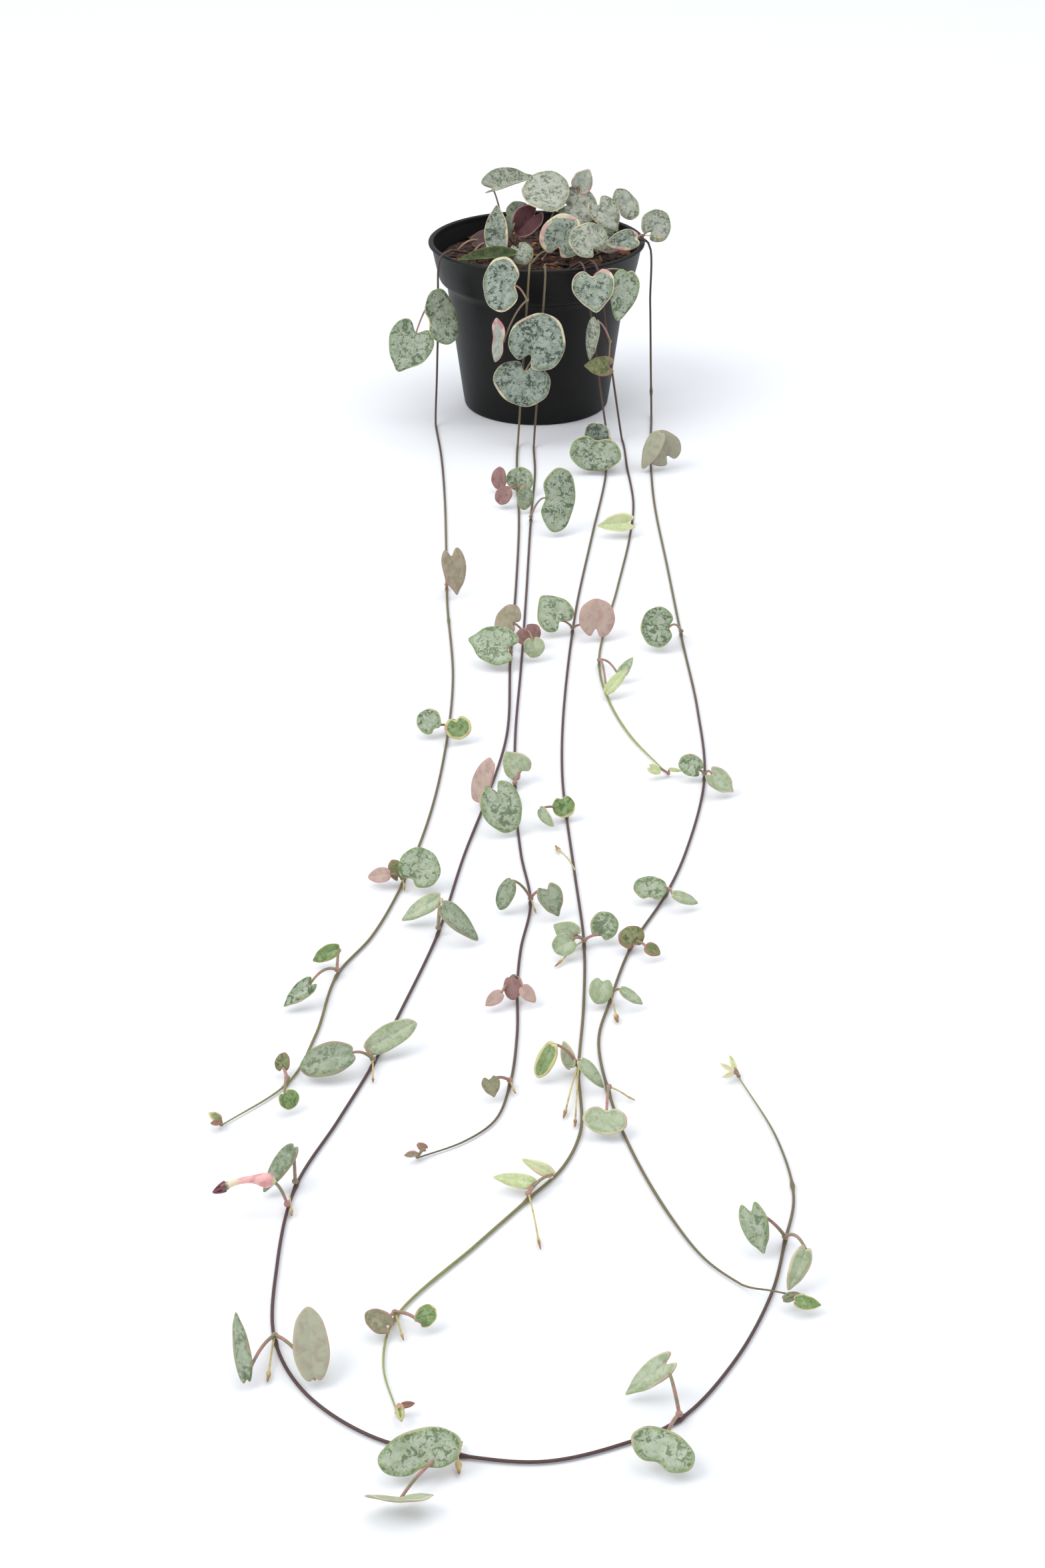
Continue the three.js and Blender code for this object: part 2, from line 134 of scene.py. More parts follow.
class Wire:
    """A number that flows between shader nodes. Arithmetic on it adds Math nodes."""

    def __init__(self, surface: "Surface", socket: bpy.types.NodeSocket) -> None:
        """Keeps the material that the socket belongs to, and the socket."""
        self.surface = surface
        self.socket = socket

    def maths(self, operation: str, *others: "Wire | float") -> "Wire":
        """Applies a Math operation.

        Args:
            operation: the Math node's operation.
            others: its further operands.

        Returns:
            The result.
        """
        inputs = {i: other for i, other in enumerate((self, *others))}
        node = self.surface.node("ShaderNodeMath", {"operation": operation}, inputs)
        return Wire(self.surface, node.outputs[0])

    def swapped(self, operation: str, first: float) -> "Wire":
        """Applies a Math operation with a plain number as its first operand."""
        node = self.surface.node("ShaderNodeMath", {"operation": operation}, {0: first, 1: self})
        return Wire(self.surface, node.outputs[0])

    def __add__(self, other: "Wire | float") -> "Wire":
        """Returns the sum."""
        return self.maths("ADD", other)

    __radd__ = __add__

    def __sub__(self, other: "Wire | float") -> "Wire":
        """Returns the difference."""
        return self.maths("SUBTRACT", other)

    def __rsub__(self, other: float) -> "Wire":
        """Returns a plain number less this one."""
        return self.swapped("SUBTRACT", other)

    def __mul__(self, other: "Wire | float") -> "Wire":
        """Returns the product."""
        return self.maths("MULTIPLY", other)

    __rmul__ = __mul__

    def __truediv__(self, other: "Wire | float") -> "Wire":
        """Returns the quotient."""
        return self.maths("DIVIDE", other)

    def __rtruediv__(self, other: float) -> "Wire":
        """Returns a plain number divided by this one."""
        return self.swapped("DIVIDE", other)

    def band(self, low: float, high: float, start: float = 0.0, end: float = 1.0) -> "Wire":
        """Turns the stretch from low to high into a smooth step.

        Args:
            low: where the step starts.
            high: where it ends.
            start: the value before it.
            end: the value after it.

        Returns:
            The stepped value.
        """
        node = self.surface.node(
            "ShaderNodeMapRange", {"interpolation_type": "SMOOTHSTEP"},
            {"Value": self, "From Min": low, "From Max": high, "To Min": start, "To Max": end},
        )
        return Wire(self.surface, node.outputs["Result"])


class Surface:
    """A material while it is built: a node tree with one shader at its end."""

    def __init__(self, name: str) -> None:
        """Starts a material.

        Args:
            name: the material's name.
        """
        self.material = bpy.data.materials.new(name)
        self.material.use_nodes = True
        self.tree = self.material.node_tree
        self.tree.nodes.clear()
        self.shader = self.node("ShaderNodeBsdfPrincipled", {}, {})
        self.node("ShaderNodeOutputMaterial", {}, {"Surface": self.shader.outputs[0]})
        self.place = self.node("ShaderNodeTexCoord", {}, {}).outputs["Object"]

    def node(self, kind: str, settings: dict[str, object], inputs: dict[object, object]) -> bpy.types.Node:
        """Adds a node.

        Args:
            kind: the node's type.
            settings: its properties, set before anything is linked.
            inputs: a value, a Wire or a socket for each named or numbered input.

        Returns:
            The node.
        """
        made = self.tree.nodes.new(kind)
        for key, value in settings.items():
            setattr(made, key, value)
        for key, value in inputs.items():
            self.feed(made.inputs[key], value)
        return made

    def feed(self, socket: bpy.types.NodeSocket, value: object) -> None:
        """Sets a socket to a value, or links it.

        Args:
            socket: the input to set.
            value: a number or colour, a Wire, or another node's socket.
        """
        if isinstance(value, Wire):
            self.tree.links.new(value.socket, socket)
        elif isinstance(value, bpy.types.NodeSocket):
            self.tree.links.new(value, socket)
        else:
            socket.default_value = value

    def mark(self, name: str) -> Wire:
        """Returns the value that the mesh holds at each point under that name."""
        node = self.node("ShaderNodeAttribute", {"attribute_name": name}, {})
        return Wire(self, node.outputs["Fac"])

    def grain(self, size: float, detail: float = 3.0, rough: float = 0.55, warp: float = 0.0) -> Wire:
        """Adds cloudy noise.

        Args:
            size: the width of a cloud, in millimetres.
            detail: how many finer layers it has.
            rough: how strong the finer layers are.
            warp: how much it is distorted.

        Returns:
            The noise, about 0.5 on average.
        """
        node = self.node(
            "ShaderNodeTexNoise", {},
            {"Vector": self.place, "Scale": PER_MM / size, "Detail": detail, "Roughness": rough,
             "Distortion": warp},
        )
        return Wire(self, node.outputs[0])

    def cells(self, size: float) -> Wire:
        """Returns the distance to the nearest of many scattered points, size millimetres apart."""
        node = self.node("ShaderNodeTexVoronoi", {}, {"Vector": self.place, "Scale": PER_MM / size})
        return Wire(self, node.outputs["Distance"])

    def blend(self, share: Wire | float, first: object, second: object) -> bpy.types.NodeSocket:
        """Mixes two colours.

        Args:
            share: how much of the second is taken.
            first: the first colour or its socket.
            second: the second colour or its socket.

        Returns:
            The mixed colour's socket.
        """
        node = self.node(
            "ShaderNodeMix", {"data_type": "RGBA", "clamp_factor": True},
            {0: share, 6: first, 7: second},
        )
        return node.outputs[2]

    def close(self, colour: object, rough: object, height: Wire | None = None, depth: float = 0.0,
              **constants: float) -> bpy.types.Material:
        """Joins the finished values to the shader.

        Args:
            colour: the base colour.
            rough: the roughness.
            height: the relief, 0 to 1.
            depth: how high the relief stands, in millimetres.
            constants: sockets set to one number all over, spaces written as underscores.

        Returns:
            The material.
        """
        self.feed(self.shader.inputs["Base Color"], colour)
        self.feed(self.shader.inputs["Roughness"], rough)
        if height is not None:
            relief = {"Strength": 1.0, "Distance": depth * MM, "Height": height}
            bump = self.node("ShaderNodeBump", {}, relief)
            self.feed(self.shader.inputs["Normal"], bump.outputs["Normal"])
        for name, value in constants.items():
            self.shader.inputs[name.replace("_", " ")].default_value = value
        return self.material


# Finishes


@dataclass(frozen=True)
class LeafFinish:
    """The colours of one kind of leaf.

    silver and mist are the ground of its upper face, green its outer band, fleck its dark
    mottling, rim and blush its pale margin, under and vein its underside. rim_width is in
    millimetres, and flecks is how strong the mottling is.
    """

    name: str
    silver: Colour
    mist: Colour
    green: Colour
    fleck: Colour
    rim: Colour
    blush: Colour
    under: Colour
    vein: Colour
    rim_width: float = 0.3
    flecks: float = 1.0

    def material(self) -> bpy.types.Material:
        """Builds the leaf's material, mottled above, dusky below, with a pale margin.

        Returns:
            The material.
        """
        s = Surface(self.name)
        inset, upper, shade = s.mark("inset"), s.mark("upper"), s.mark("shade")
        drift, cloud = s.grain(17.0, 1.0), s.grain(6.5, 2.0)
        patch, spot = s.grain(2.6, 3.0, 0.6, 0.4), s.grain(1.9, 3.0, 0.62, 0.9)
        speck, fine = s.grain(0.85, 3.0, 0.65, 0.5), s.grain(0.33, 2.0)
        ground = s.blend(patch.band(0.4, 0.64), self.silver, self.mist)
        ground = s.blend(inset.band(0.2, 2.4, 0.95, 0.0) * speck.band(0.34, 0.56), ground, self.green)
        dark = (spot + 0.34 * (cloud - 0.5) + 0.05 * (shade - 0.5)).band(0.525, 0.595)
        small = (speck + 0.3 * (cloud - 0.5)).band(0.585, 0.65)
        ground = s.blend(dark * (0.86 * self.flecks), ground, self.fleck)
        ground = s.blend(small * (0.62 * self.flecks), ground, self.fleck)
        width = self.rim_width * (0.5 + 2.2 * (drift + 0.3 * (spot - 0.5)).band(0.47, 0.6))
        edge = (inset - width).band(-0.16, 0.16, 1.0, 0.0)
        margin = s.blend(cloud.band(0.46, 0.56), self.rim, self.blush)
        top = s.blend(edge, ground, margin)
        below = s.blend(patch.band(0.4, 0.7), self.under, self.vein)
        below = s.blend(inset.band(0.1, 0.9, 0.6, 0.0), below, self.blush)
        colour = s.blend(upper.band(0.4, 0.6), below, top)
        colour = s.blend(shade * 0.16, colour, self.mist)
        rough = 0.5 + 0.16 * patch + 0.08 * dark
        relief = 0.5 * patch + 0.3 * spot + 0.15 * speck + 0.05 * fine
        return s.close(colour, rough, relief, 0.2, Subsurface_Weight=0.06, Subsurface_Scale=0.0012,
                       Specular_IOR_Level=0.35)


class Look(Enum):
    """The kinds of leaf on the plant."""

    SILVER = LeafFinish(
        "leaf_silver", tone(182, 184, 170), tone(156, 162, 144), tone(124, 140, 100), tone(76, 88, 68),
        tone(208, 200, 166), tone(186, 168, 148), tone(92, 62, 60), tone(70, 44, 46), 0.22, 0.9)
    FROSTED = LeafFinish(
        "leaf_frosted", tone(160, 170, 158), tone(128, 140, 126), tone(112, 130, 94), tone(56, 68, 56),
        tone(214, 206, 172), tone(200, 176, 158), tone(110, 72, 74), tone(84, 52, 56), 0.4, 1.1)
    CREAM = LeafFinish(
        "leaf_cream_edged", tone(168, 176, 162), tone(132, 144, 128), tone(114, 134, 92), tone(58, 72, 58),
        tone(224, 212, 180), tone(208, 168, 158), tone(106, 64, 68), tone(80, 46, 50), 0.8, 1.0)
    BLUSHED = LeafFinish(
        "leaf_blushed", tone(176, 180, 168), tone(152, 158, 144), tone(134, 146, 112), tone(94, 106, 88),
        tone(214, 188, 172), tone(188, 130, 134), tone(150, 92, 100), tone(118, 68, 78), 0.9, 0.4)
    MOTTLED = LeafFinish(
        "leaf_mottled", tone(174, 182, 164), tone(150, 162, 136), tone(118, 142, 92), tone(68, 88, 58),
        tone(156, 172, 116), tone(190, 180, 140), tone(140, 128, 108), tone(118, 104, 88), 0.2, 1.0)
    SAGE = LeafFinish(
        "leaf_sage", tone(166, 175, 153), tone(145, 158, 131), tone(112, 130, 90), tone(84, 102, 74),
        tone(158, 156, 126), tone(160, 140, 120), tone(164, 166, 142), tone(166, 148, 136), 0.25, 0.7)
    LIME = LeafFinish(
        "leaf_lime", tone(182, 192, 170), tone(164, 176, 148), tone(122, 146, 92), tone(82, 104, 66),
        tone(136, 154, 104), tone(176, 174, 138), tone(162, 160, 128), tone(142, 136, 108), 0.2, 0.9)
    GREEN = LeafFinish(
        "leaf_green", tone(152, 170, 126), tone(128, 150, 96), tone(112, 142, 76), tone(76, 104, 56),
        tone(214, 206, 150), tone(206, 166, 140), tone(142, 144, 96), tone(118, 116, 76), 0.35, 0.9)
    PALE = LeafFinish(
        "leaf_pale", tone(186, 194, 168), tone(170, 182, 148), tone(150, 168, 124), tone(124, 144, 104),
        tone(204, 198, 168), tone(196, 172, 152), tone(168, 168, 144), tone(158, 146, 130), 0.25, 0.5)
    YELLOW = LeafFinish(
        "leaf_yellow_green", tone(206, 214, 172), tone(196, 206, 154), tone(180, 196, 130),
        tone(164, 182, 118), tone(224, 220, 180), tone(214, 200, 166), tone(190, 194, 150),
        tone(176, 178, 132), 0.4, 0.4)
    OLIVE = LeafFinish(
        "leaf_olive", tone(146, 148, 110), tone(118, 124, 82), tone(120, 128, 76), tone(76, 80, 52),
        tone(158, 124, 102), tone(150, 108, 94), tone(140, 122, 102), tone(116, 98, 82), 0.5, 0.9)
    KHAKI = LeafFinish(
        "leaf_khaki", tone(158, 154, 126), tone(140, 140, 110), tone(130, 128, 98), tone(100, 94, 72),
        tone(150, 126, 108), tone(176, 138, 126), tone(172, 162, 138), tone(152, 140, 116), 0.3, 0.5)
    ROSE = LeafFinish(
        "leaf_rose", tone(160, 134, 124), tone(138, 112, 104), tone(124, 104, 88), tone(104, 80, 74),
        tone(176, 140, 130), tone(156, 110, 108), tone(154, 120, 114), tone(128, 94, 92), 0.3, 0.4)
    PINK = LeafFinish(
        "leaf_pink", tone(192, 170, 156), tone(170, 146, 134), tone(160, 146, 120), tone(140, 118, 104),
        tone(214, 180, 168), tone(204, 150, 144), tone(190, 168, 154), tone(172, 142, 134), 0.3, 0.3)
    # The dusky purple leaf under the crown: its purple underside is real, and the whole look is darkened as
    # painted shade
    PLUM = LeafFinish(
        "leaf_plum", tone(116, 122, 102), tone(92, 98, 78), tone(92, 104, 70), tone(52, 58, 42),
        tone(196, 170, 148), tone(150, 86, 94), tone(76, 44, 46), tone(54, 28, 32), 0.4, 0.9)
    DEEP = LeafFinish(
        "leaf_deep", tone(78, 90, 50), tone(58, 70, 36), tone(84, 98, 48), tone(40, 50, 26),
        tone(150, 158, 90), tone(132, 128, 76), tone(70, 62, 40), tone(54, 44, 30), 0.25, 0.8)


@dataclass(frozen=True)
class StemFinish:
    """Wiry stems, by the mark called age: purple-brown at 0, olive at a half and green at 1."""

    name: str = "stem_bark"
    old: Colour = tone(82, 58, 56)
    middle: Colour = tone(116, 106, 74)
    young: Colour = tone(160, 168, 98)
    spot: Colour = tone(58, 42, 38)

    def material(self) -> bpy.types.Material:
        """Builds the stems' material.

        Returns:
            The material.
        """
        s = Surface(self.name)
        cloud, speck = s.grain(7.0), s.grain(0.5, 3.0, 0.6)
        age = s.mark("age") + 0.2 * (cloud - 0.5)
        colour = s.blend(age.band(0.05, 0.55), self.old, self.middle)
        colour = s.blend(age.band(0.6, 1.0), colour, self.young)
        colour = s.blend(speck.band(0.55, 0.7) * 0.45, colour, self.spot)
        return s.close(colour, 0.42 + 0.25 * speck, speck, 0.08)


@dataclass(frozen=True)
class StalkFinish:
    """Leaf stalks, swellings and runners: dusty pink and green in clouds, with dark specks."""

    name: str = "stalk_skin"
    green: Colour = tone(138, 132, 100)
    pink: Colour = tone(178, 130, 122)
    dark: Colour = tone(122, 82, 80)

    def material(self) -> bpy.types.Material:
        """Builds the leaf stalks' material.

        Returns:
            The material.
        """
        s = Surface(self.name)
        cloud, speck = s.grain(4.0), s.grain(0.6)
        colour = s.blend(cloud.band(0.42, 0.6), self.green, self.pink)
        colour = s.blend(speck.band(0.5, 0.75) * 0.6, colour, self.dark)
        return s.close(colour, 0.45 + 0.15 * speck)


@dataclass(frozen=True)
class PotFinish:
    """Near-black satin plastic with fine grain, faint scuffs and a little dust in patches and specks."""

    name: str = "pot_plastic"
    black: Colour = tone(15, 15, 14)
    worn: Colour = tone(27, 27, 26)
    dust: Colour = tone(70, 67, 62)

    def material(self) -> bpy.types.Material:
        """Builds the pot's material.

        Returns:
            The material.
        """
        s = Surface(self.name)
        haze, grit = s.grain(26.0, 4.0, 0.6), s.grain(0.55, 3.0, 0.6)
        scuff, fleck = s.grain(6.0, 6.0, 0.75, 0.8), s.grain(1.1, 2.0, 0.6)
        colour = s.blend(haze.band(0.42, 0.68) * 0.5, self.black, self.worn)
        colour = s.blend(scuff.band(0.62, 0.72) * 0.25, colour, self.dust)
        colour = s.blend(fleck.band(0.74, 0.78) * 0.35, colour, self.dust)
        rough = 0.34 + 0.16 * haze + 0.1 * scuff
        return s.close(colour, rough, 0.7 * grit + 0.3 * scuff, 0.045, Specular_IOR_Level=0.2)


@dataclass(frozen=True)
class SoilFinish:
    """Dark peat with crumbs, fibres and a few paler grains, with painted shade in the gaps between crumbs."""

    name: str = "soil_peat"
    dark: Colour = tone(38, 25, 18)
    crumb: Colour = tone(78, 52, 36)
    grain: Colour = tone(150, 112, 80)

    def material(self) -> bpy.types.Material:
        """Builds the soil's material.

        Returns:
            The material.
        """
        s = Surface(self.name)
        cloud, crumb = s.grain(3.0, 5.0, 0.7, 0.5), s.grain(0.9, 4.0, 0.7)
        cells = s.cells(1.6)
        colour = s.blend(cloud.band(0.4, 0.65), self.dark, self.crumb)
        colour = s.blend(crumb.band(0.64, 0.7) * 0.7, colour, self.grain)
        # Painted shade: darker away from each crumb's middle, in the low gaps between crumbs
        colour = s.blend(cells.band(0.25, 0.7) * 0.6, colour, self.dark)
        return s.close(colour, 0.8 + 0.18 * crumb, 0.6 * crumb + 0.4 * (1 - cells), 0.7)


@dataclass(frozen=True)
class BarkFinish:
    """Bark chips, from dark brown to a fresh orange-brown by the mark called tint."""

    name: str = "bark_chips"
    dark: Colour = tone(62, 40, 28)
    fresh: Colour = tone(158, 96, 56)
    fibre: Colour = tone(198, 150, 104)

    def material(self) -> bpy.types.Material:
        """Builds the bark chips' material.

        Returns:
            The material.
        """
        s = Surface(self.name)
        tint, cloud, grit = s.mark("tint"), s.grain(1.4, 4.0, 0.7), s.grain(0.4)
        colour = s.blend((tint + 0.5 * (cloud - 0.5)).band(0.35, 0.95), self.dark, self.fresh)
        colour = s.blend(grit.band(0.6, 0.7) * tint * 0.6, colour, self.fibre)
        return s.close(colour, 0.7 + 0.25 * grit, cloud, 0.3)


@dataclass(frozen=True)
class FlowerFinish:
    """A lantern flower: a green heel, a pink tube, a cream neck and a maroon cage, by along."""

    name: str = "flower_petal"
    heel: Colour = tone(196, 204, 140)
    pink: Colour = tone(236, 184, 178)
    rose: Colour = tone(208, 132, 136)
    neck: Colour = tone(230, 216, 184)
    grey: Colour = tone(122, 116, 92)
    cage: Colour = tone(118, 62, 76)

    def material(self) -> bpy.types.Material:
        """Builds the flower's material.

        Returns:
            The material.
        """
        s = Surface(self.name)
        along, cloud, speck = s.mark("along"), s.grain(1.6), s.grain(0.5)
        colour = s.blend(cloud.band(0.45, 0.65) * 0.7, self.pink, self.rose)
        colour = s.blend((along + 0.05 * (cloud - 0.5)).band(0.03, 0.09), self.heel, colour)
        colour = s.blend((along + 0.1 * (cloud - 0.5)).band(0.5, 0.66), colour, self.neck)
        colour = s.blend((along + 0.06 * (speck - 0.5)).band(0.72, 0.77), colour, self.grey)
        colour = s.blend((along + 0.06 * (speck - 0.5)).band(0.79, 0.86), colour, self.cage)
        return s.close(colour, 0.45 + 0.1 * speck, cloud, 0.12, Subsurface_Weight=0.1,
                       Subsurface_Scale=0.001)


@dataclass(frozen=True)
class BudFinish:
    """Small dried buds, straw to brown at their tips."""

    name: str = "bud_straw"
    straw: Colour = tone(214, 192, 136)
    green: Colour = tone(176, 172, 116)
    brown: Colour = tone(150, 108, 72)

    def material(self) -> bpy.types.Material:
        """Builds the dried buds' material.

        Returns:
            The material.
        """
        s = Surface(self.name)
        along, cloud = s.mark("along"), s.grain(1.5)
        colour = s.blend(cloud.band(0.4, 0.65), self.straw, self.green)
        colour = s.blend((along + 0.4 * (cloud - 0.5)).band(0.7, 1.0), colour, self.brown)
        return s.close(colour, 0.6 + 0.2 * cloud, cloud, 0.15)


@dataclass(frozen=True)
class FloorFinish:
    """A plain pale floor."""

    name: str = "floor_pale"
    white: Colour = tone(243, 244, 247)

    def material(self) -> bpy.types.Material:
        """Returns the floor's material."""
        return Surface(self.name).close(self.white, 0.75)


class Finishes:
    """Every material, made once."""

    def __init__(self) -> None:
        """Makes the materials."""
        self.leaves = {look: look.value.material() for look in Look}
        self.stem = StemFinish().material()
        self.stalk = StalkFinish().material()
        self.pot = PotFinish().material()
        self.soil = SoilFinish().material()
        self.bark = BarkFinish().material()
        self.flower = FlowerFinish().material()
        self.bud = BudFinish().material()
        self.floor = FloorFinish().material()


# Mesh building


@dataclass
class Form:
    """Points and faces gathered for one piece, with marks that its materials read."""

    points: list[np.ndarray] = field(default_factory=list)
    faces: list[tuple[int, ...]] = field(default_factory=list)
    slots: list[int] = field(default_factory=list)
    marks: list[dict[str, np.ndarray]] = field(default_factory=list)
    count: int = 0

    def add(self, points: np.ndarray, faces: Iterable[Sequence[int]], slot: int = 0,
            **marks: np.ndarray) -> None:
        """Adds a closed shape.

        Args:
            points: its points, in millimetres.
            faces: its faces, numbered from its own first point.
            slot: the material slot that its faces take.
            marks: a value per point for each named mark.
        """
        for face in faces:
            self.faces.append(tuple(i + self.count for i in face))
            self.slots.append(slot)
        self.points.append(points)
        self.marks.append({name: np.broadcast_to(value, len(points)) for name, value in marks.items()})
        self.count += len(points)

    def build(self, name: str, materials: Sequence[bpy.types.Material], nodes: Sequence[str], slot: str,
              sharp: float = 50.0) -> bpy.types.Object:
        """Makes the piece, and hides the CAD nodes that it replaces.

        Args:
            name: the piece's name.
            materials: its materials, in slot order.
            nodes: the CAD nodes that it replaces.
            slot: a material slot's name; not used.
            sharp: edges that bend more than this many degrees stay sharp.

        Returns:
            The object.
        """
        mesh = bpy.data.meshes.new(name)
        mesh.from_pydata((np.concatenate(self.points) * MM).tolist(), [], self.faces)
        for material in materials:
            mesh.materials.append(material)
        mesh.polygons.foreach_set("material_index", self.slots)
        for key in sorted({key for marks in self.marks for key in marks}):
            values = [marks.get(key, np.zeros(len(points))) for marks, points in zip(self.marks, self.points)]
            attribute = mesh.attributes.new(key, "FLOAT", "POINT")
            attribute.data.foreach_set("value", np.concatenate(values).astype(np.float32))
        mesh.validate()
        mesh.update()
        mesh.shade_smooth()
        mesh.set_sharp_from_angle(angle=math.radians(sharp))
        made = bpy.data.objects.new(name, mesh)
        bpy.context.scene.collection.objects.link(made)
        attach(made, "root")
        if nodes:
            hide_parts(*nodes)
        log.info("%s: %d points, %d faces", name, self.count, len(self.faces))
        return made


def tube(path: np.ndarray, radii: np.ndarray,
         sides: int) -> tuple[np.ndarray, list[Sequence[int]], np.ndarray]:
    """Sweeps a round section along a path, closed at both ends.

    Args:
        path: the middle of the tube, a row per ring.
        radii: the radius at each ring.
        sides: how many points a ring has.

    Returns:
        The points, the faces and each point's share of the way along.
    """
    steps = np.diff(path, axis=0)
    lengths = np.linalg.norm(steps, axis=1)
    along = np.gradient(path, axis=0)
    along /= np.linalg.norm(along, axis=1)[:, None]
    side = np.cross(along[0], (0.3, 0.2, 0.9))
    angles = np.arange(sides) / sides * TAU
    rings = []
    for middle, way, radius in zip(path, along, radii):
        side = side - way * side.dot(way)
        side /= np.linalg.norm(side)
        other = np.cross(way, side)
        rings.append(middle + radius * (np.cos(angles)[:, None] * side + np.sin(angles)[:, None] * other))
    count = len(path)
    faces: list[Sequence[int]] = []
    for k in range(count - 1):
        for i in range(sides):
            j = (i + 1) % sides
            faces.append((k * sides + i, k * sides + j, (k + 1) * sides + j, (k + 1) * sides + i))
    faces.append(tuple(range(sides - 1, -1, -1)))
    faces.append(tuple((count - 1) * sides + i for i in range(sides)))
    share = np.concatenate([[0.0], np.cumsum(lengths)]) / lengths.sum()
    return np.concatenate(rings), faces, np.repeat(share, sides)


def lathe(profile: Sequence[tuple[float, float]], sides: int) -> tuple[np.ndarray, list[Sequence[int]]]:
    """Turns a closed profile round the Z axis.

    Args:
        profile: radius and height of each point, counter-clockwise seen from the front.
        sides: how many steps it takes round the axis.

    Returns:
        The points and the faces.
    """
    angles = np.arange(sides) / sides * TAU
    rows = [np.stack([r * np.cos(angles), r * np.sin(angles), np.full(sides, z)], 1) for r, z in profile]
    count = len(profile)
    faces = [
        (k * sides + i, k * sides + (i + 1) % sides,
         (k + 1) % count * sides + (i + 1) % sides, (k + 1) % count * sides + i)
        for k in range(count) for i in range(sides)
    ]
    return np.concatenate(rows), faces


def bezier(start: np.ndarray, bend: np.ndarray, end: np.ndarray, steps: int) -> np.ndarray:
    """Returns steps + 1 points of a quadratic curve from start to end, drawn towards bend."""
    t = np.linspace(0, 1, steps + 1)[:, None]
    return (1 - t) ** 2 * start + 2 * t * (1 - t) * bend + t ** 2 * end


def drop(middle: np.ndarray, size: Point, rng: np.random.Generator | None = None,
         rough: float = 0.0) -> tuple[np.ndarray, list[Sequence[int]]]:
    """Makes a rounded lump.

    Args:
        middle: its centre.
        size: its half-lengths along X, Y and Z.
        rng: where its roughness is drawn from.
        rough: how uneven it is, as a share of its size.

    Returns:
        The points and the faces.
    """
    ball = bmesh.new()
    bmesh.ops.create_icosphere(ball, subdivisions=2, radius=1.0)
    points = np.array([v.co for v in ball.verts])
    faces = [tuple(v.index for v in f.verts) for f in ball.faces]
    ball.free()
    if rng is not None:
        points *= 1 + rough * rng.uniform(-1, 1, (len(points), 1))
    return points * np.array(size) + middle, faces


# The pot and its soil


def inside_radius(z: float) -> float:
    """Finds the radius of the pot's inner face.

    Args:
        z: the height.

    Returns:
        The radius there.
    """
    if z < BAND_FOOT:
        return FOOT_RADIUS - WALL + (WALL_TOP_RADIUS - FOOT_RADIUS) * z / BAND_FOOT
    rise = (z - BAND_FOOT) / (BAND_HEIGHT - LIP_HEIGHT)
    return BAND_FOOT_RADIUS - WALL + (BAND_TOP_RADIUS - BAND_FOOT_RADIUS) * rise


def soil_height(x: float, y: float) -> float:
    """Returns the height of the smooth soil at x and y."""
    return SOIL_TOP + SOIL_MOUND * (1 - math.hypot(x, y) / inside_radius(SOIL_TOP))


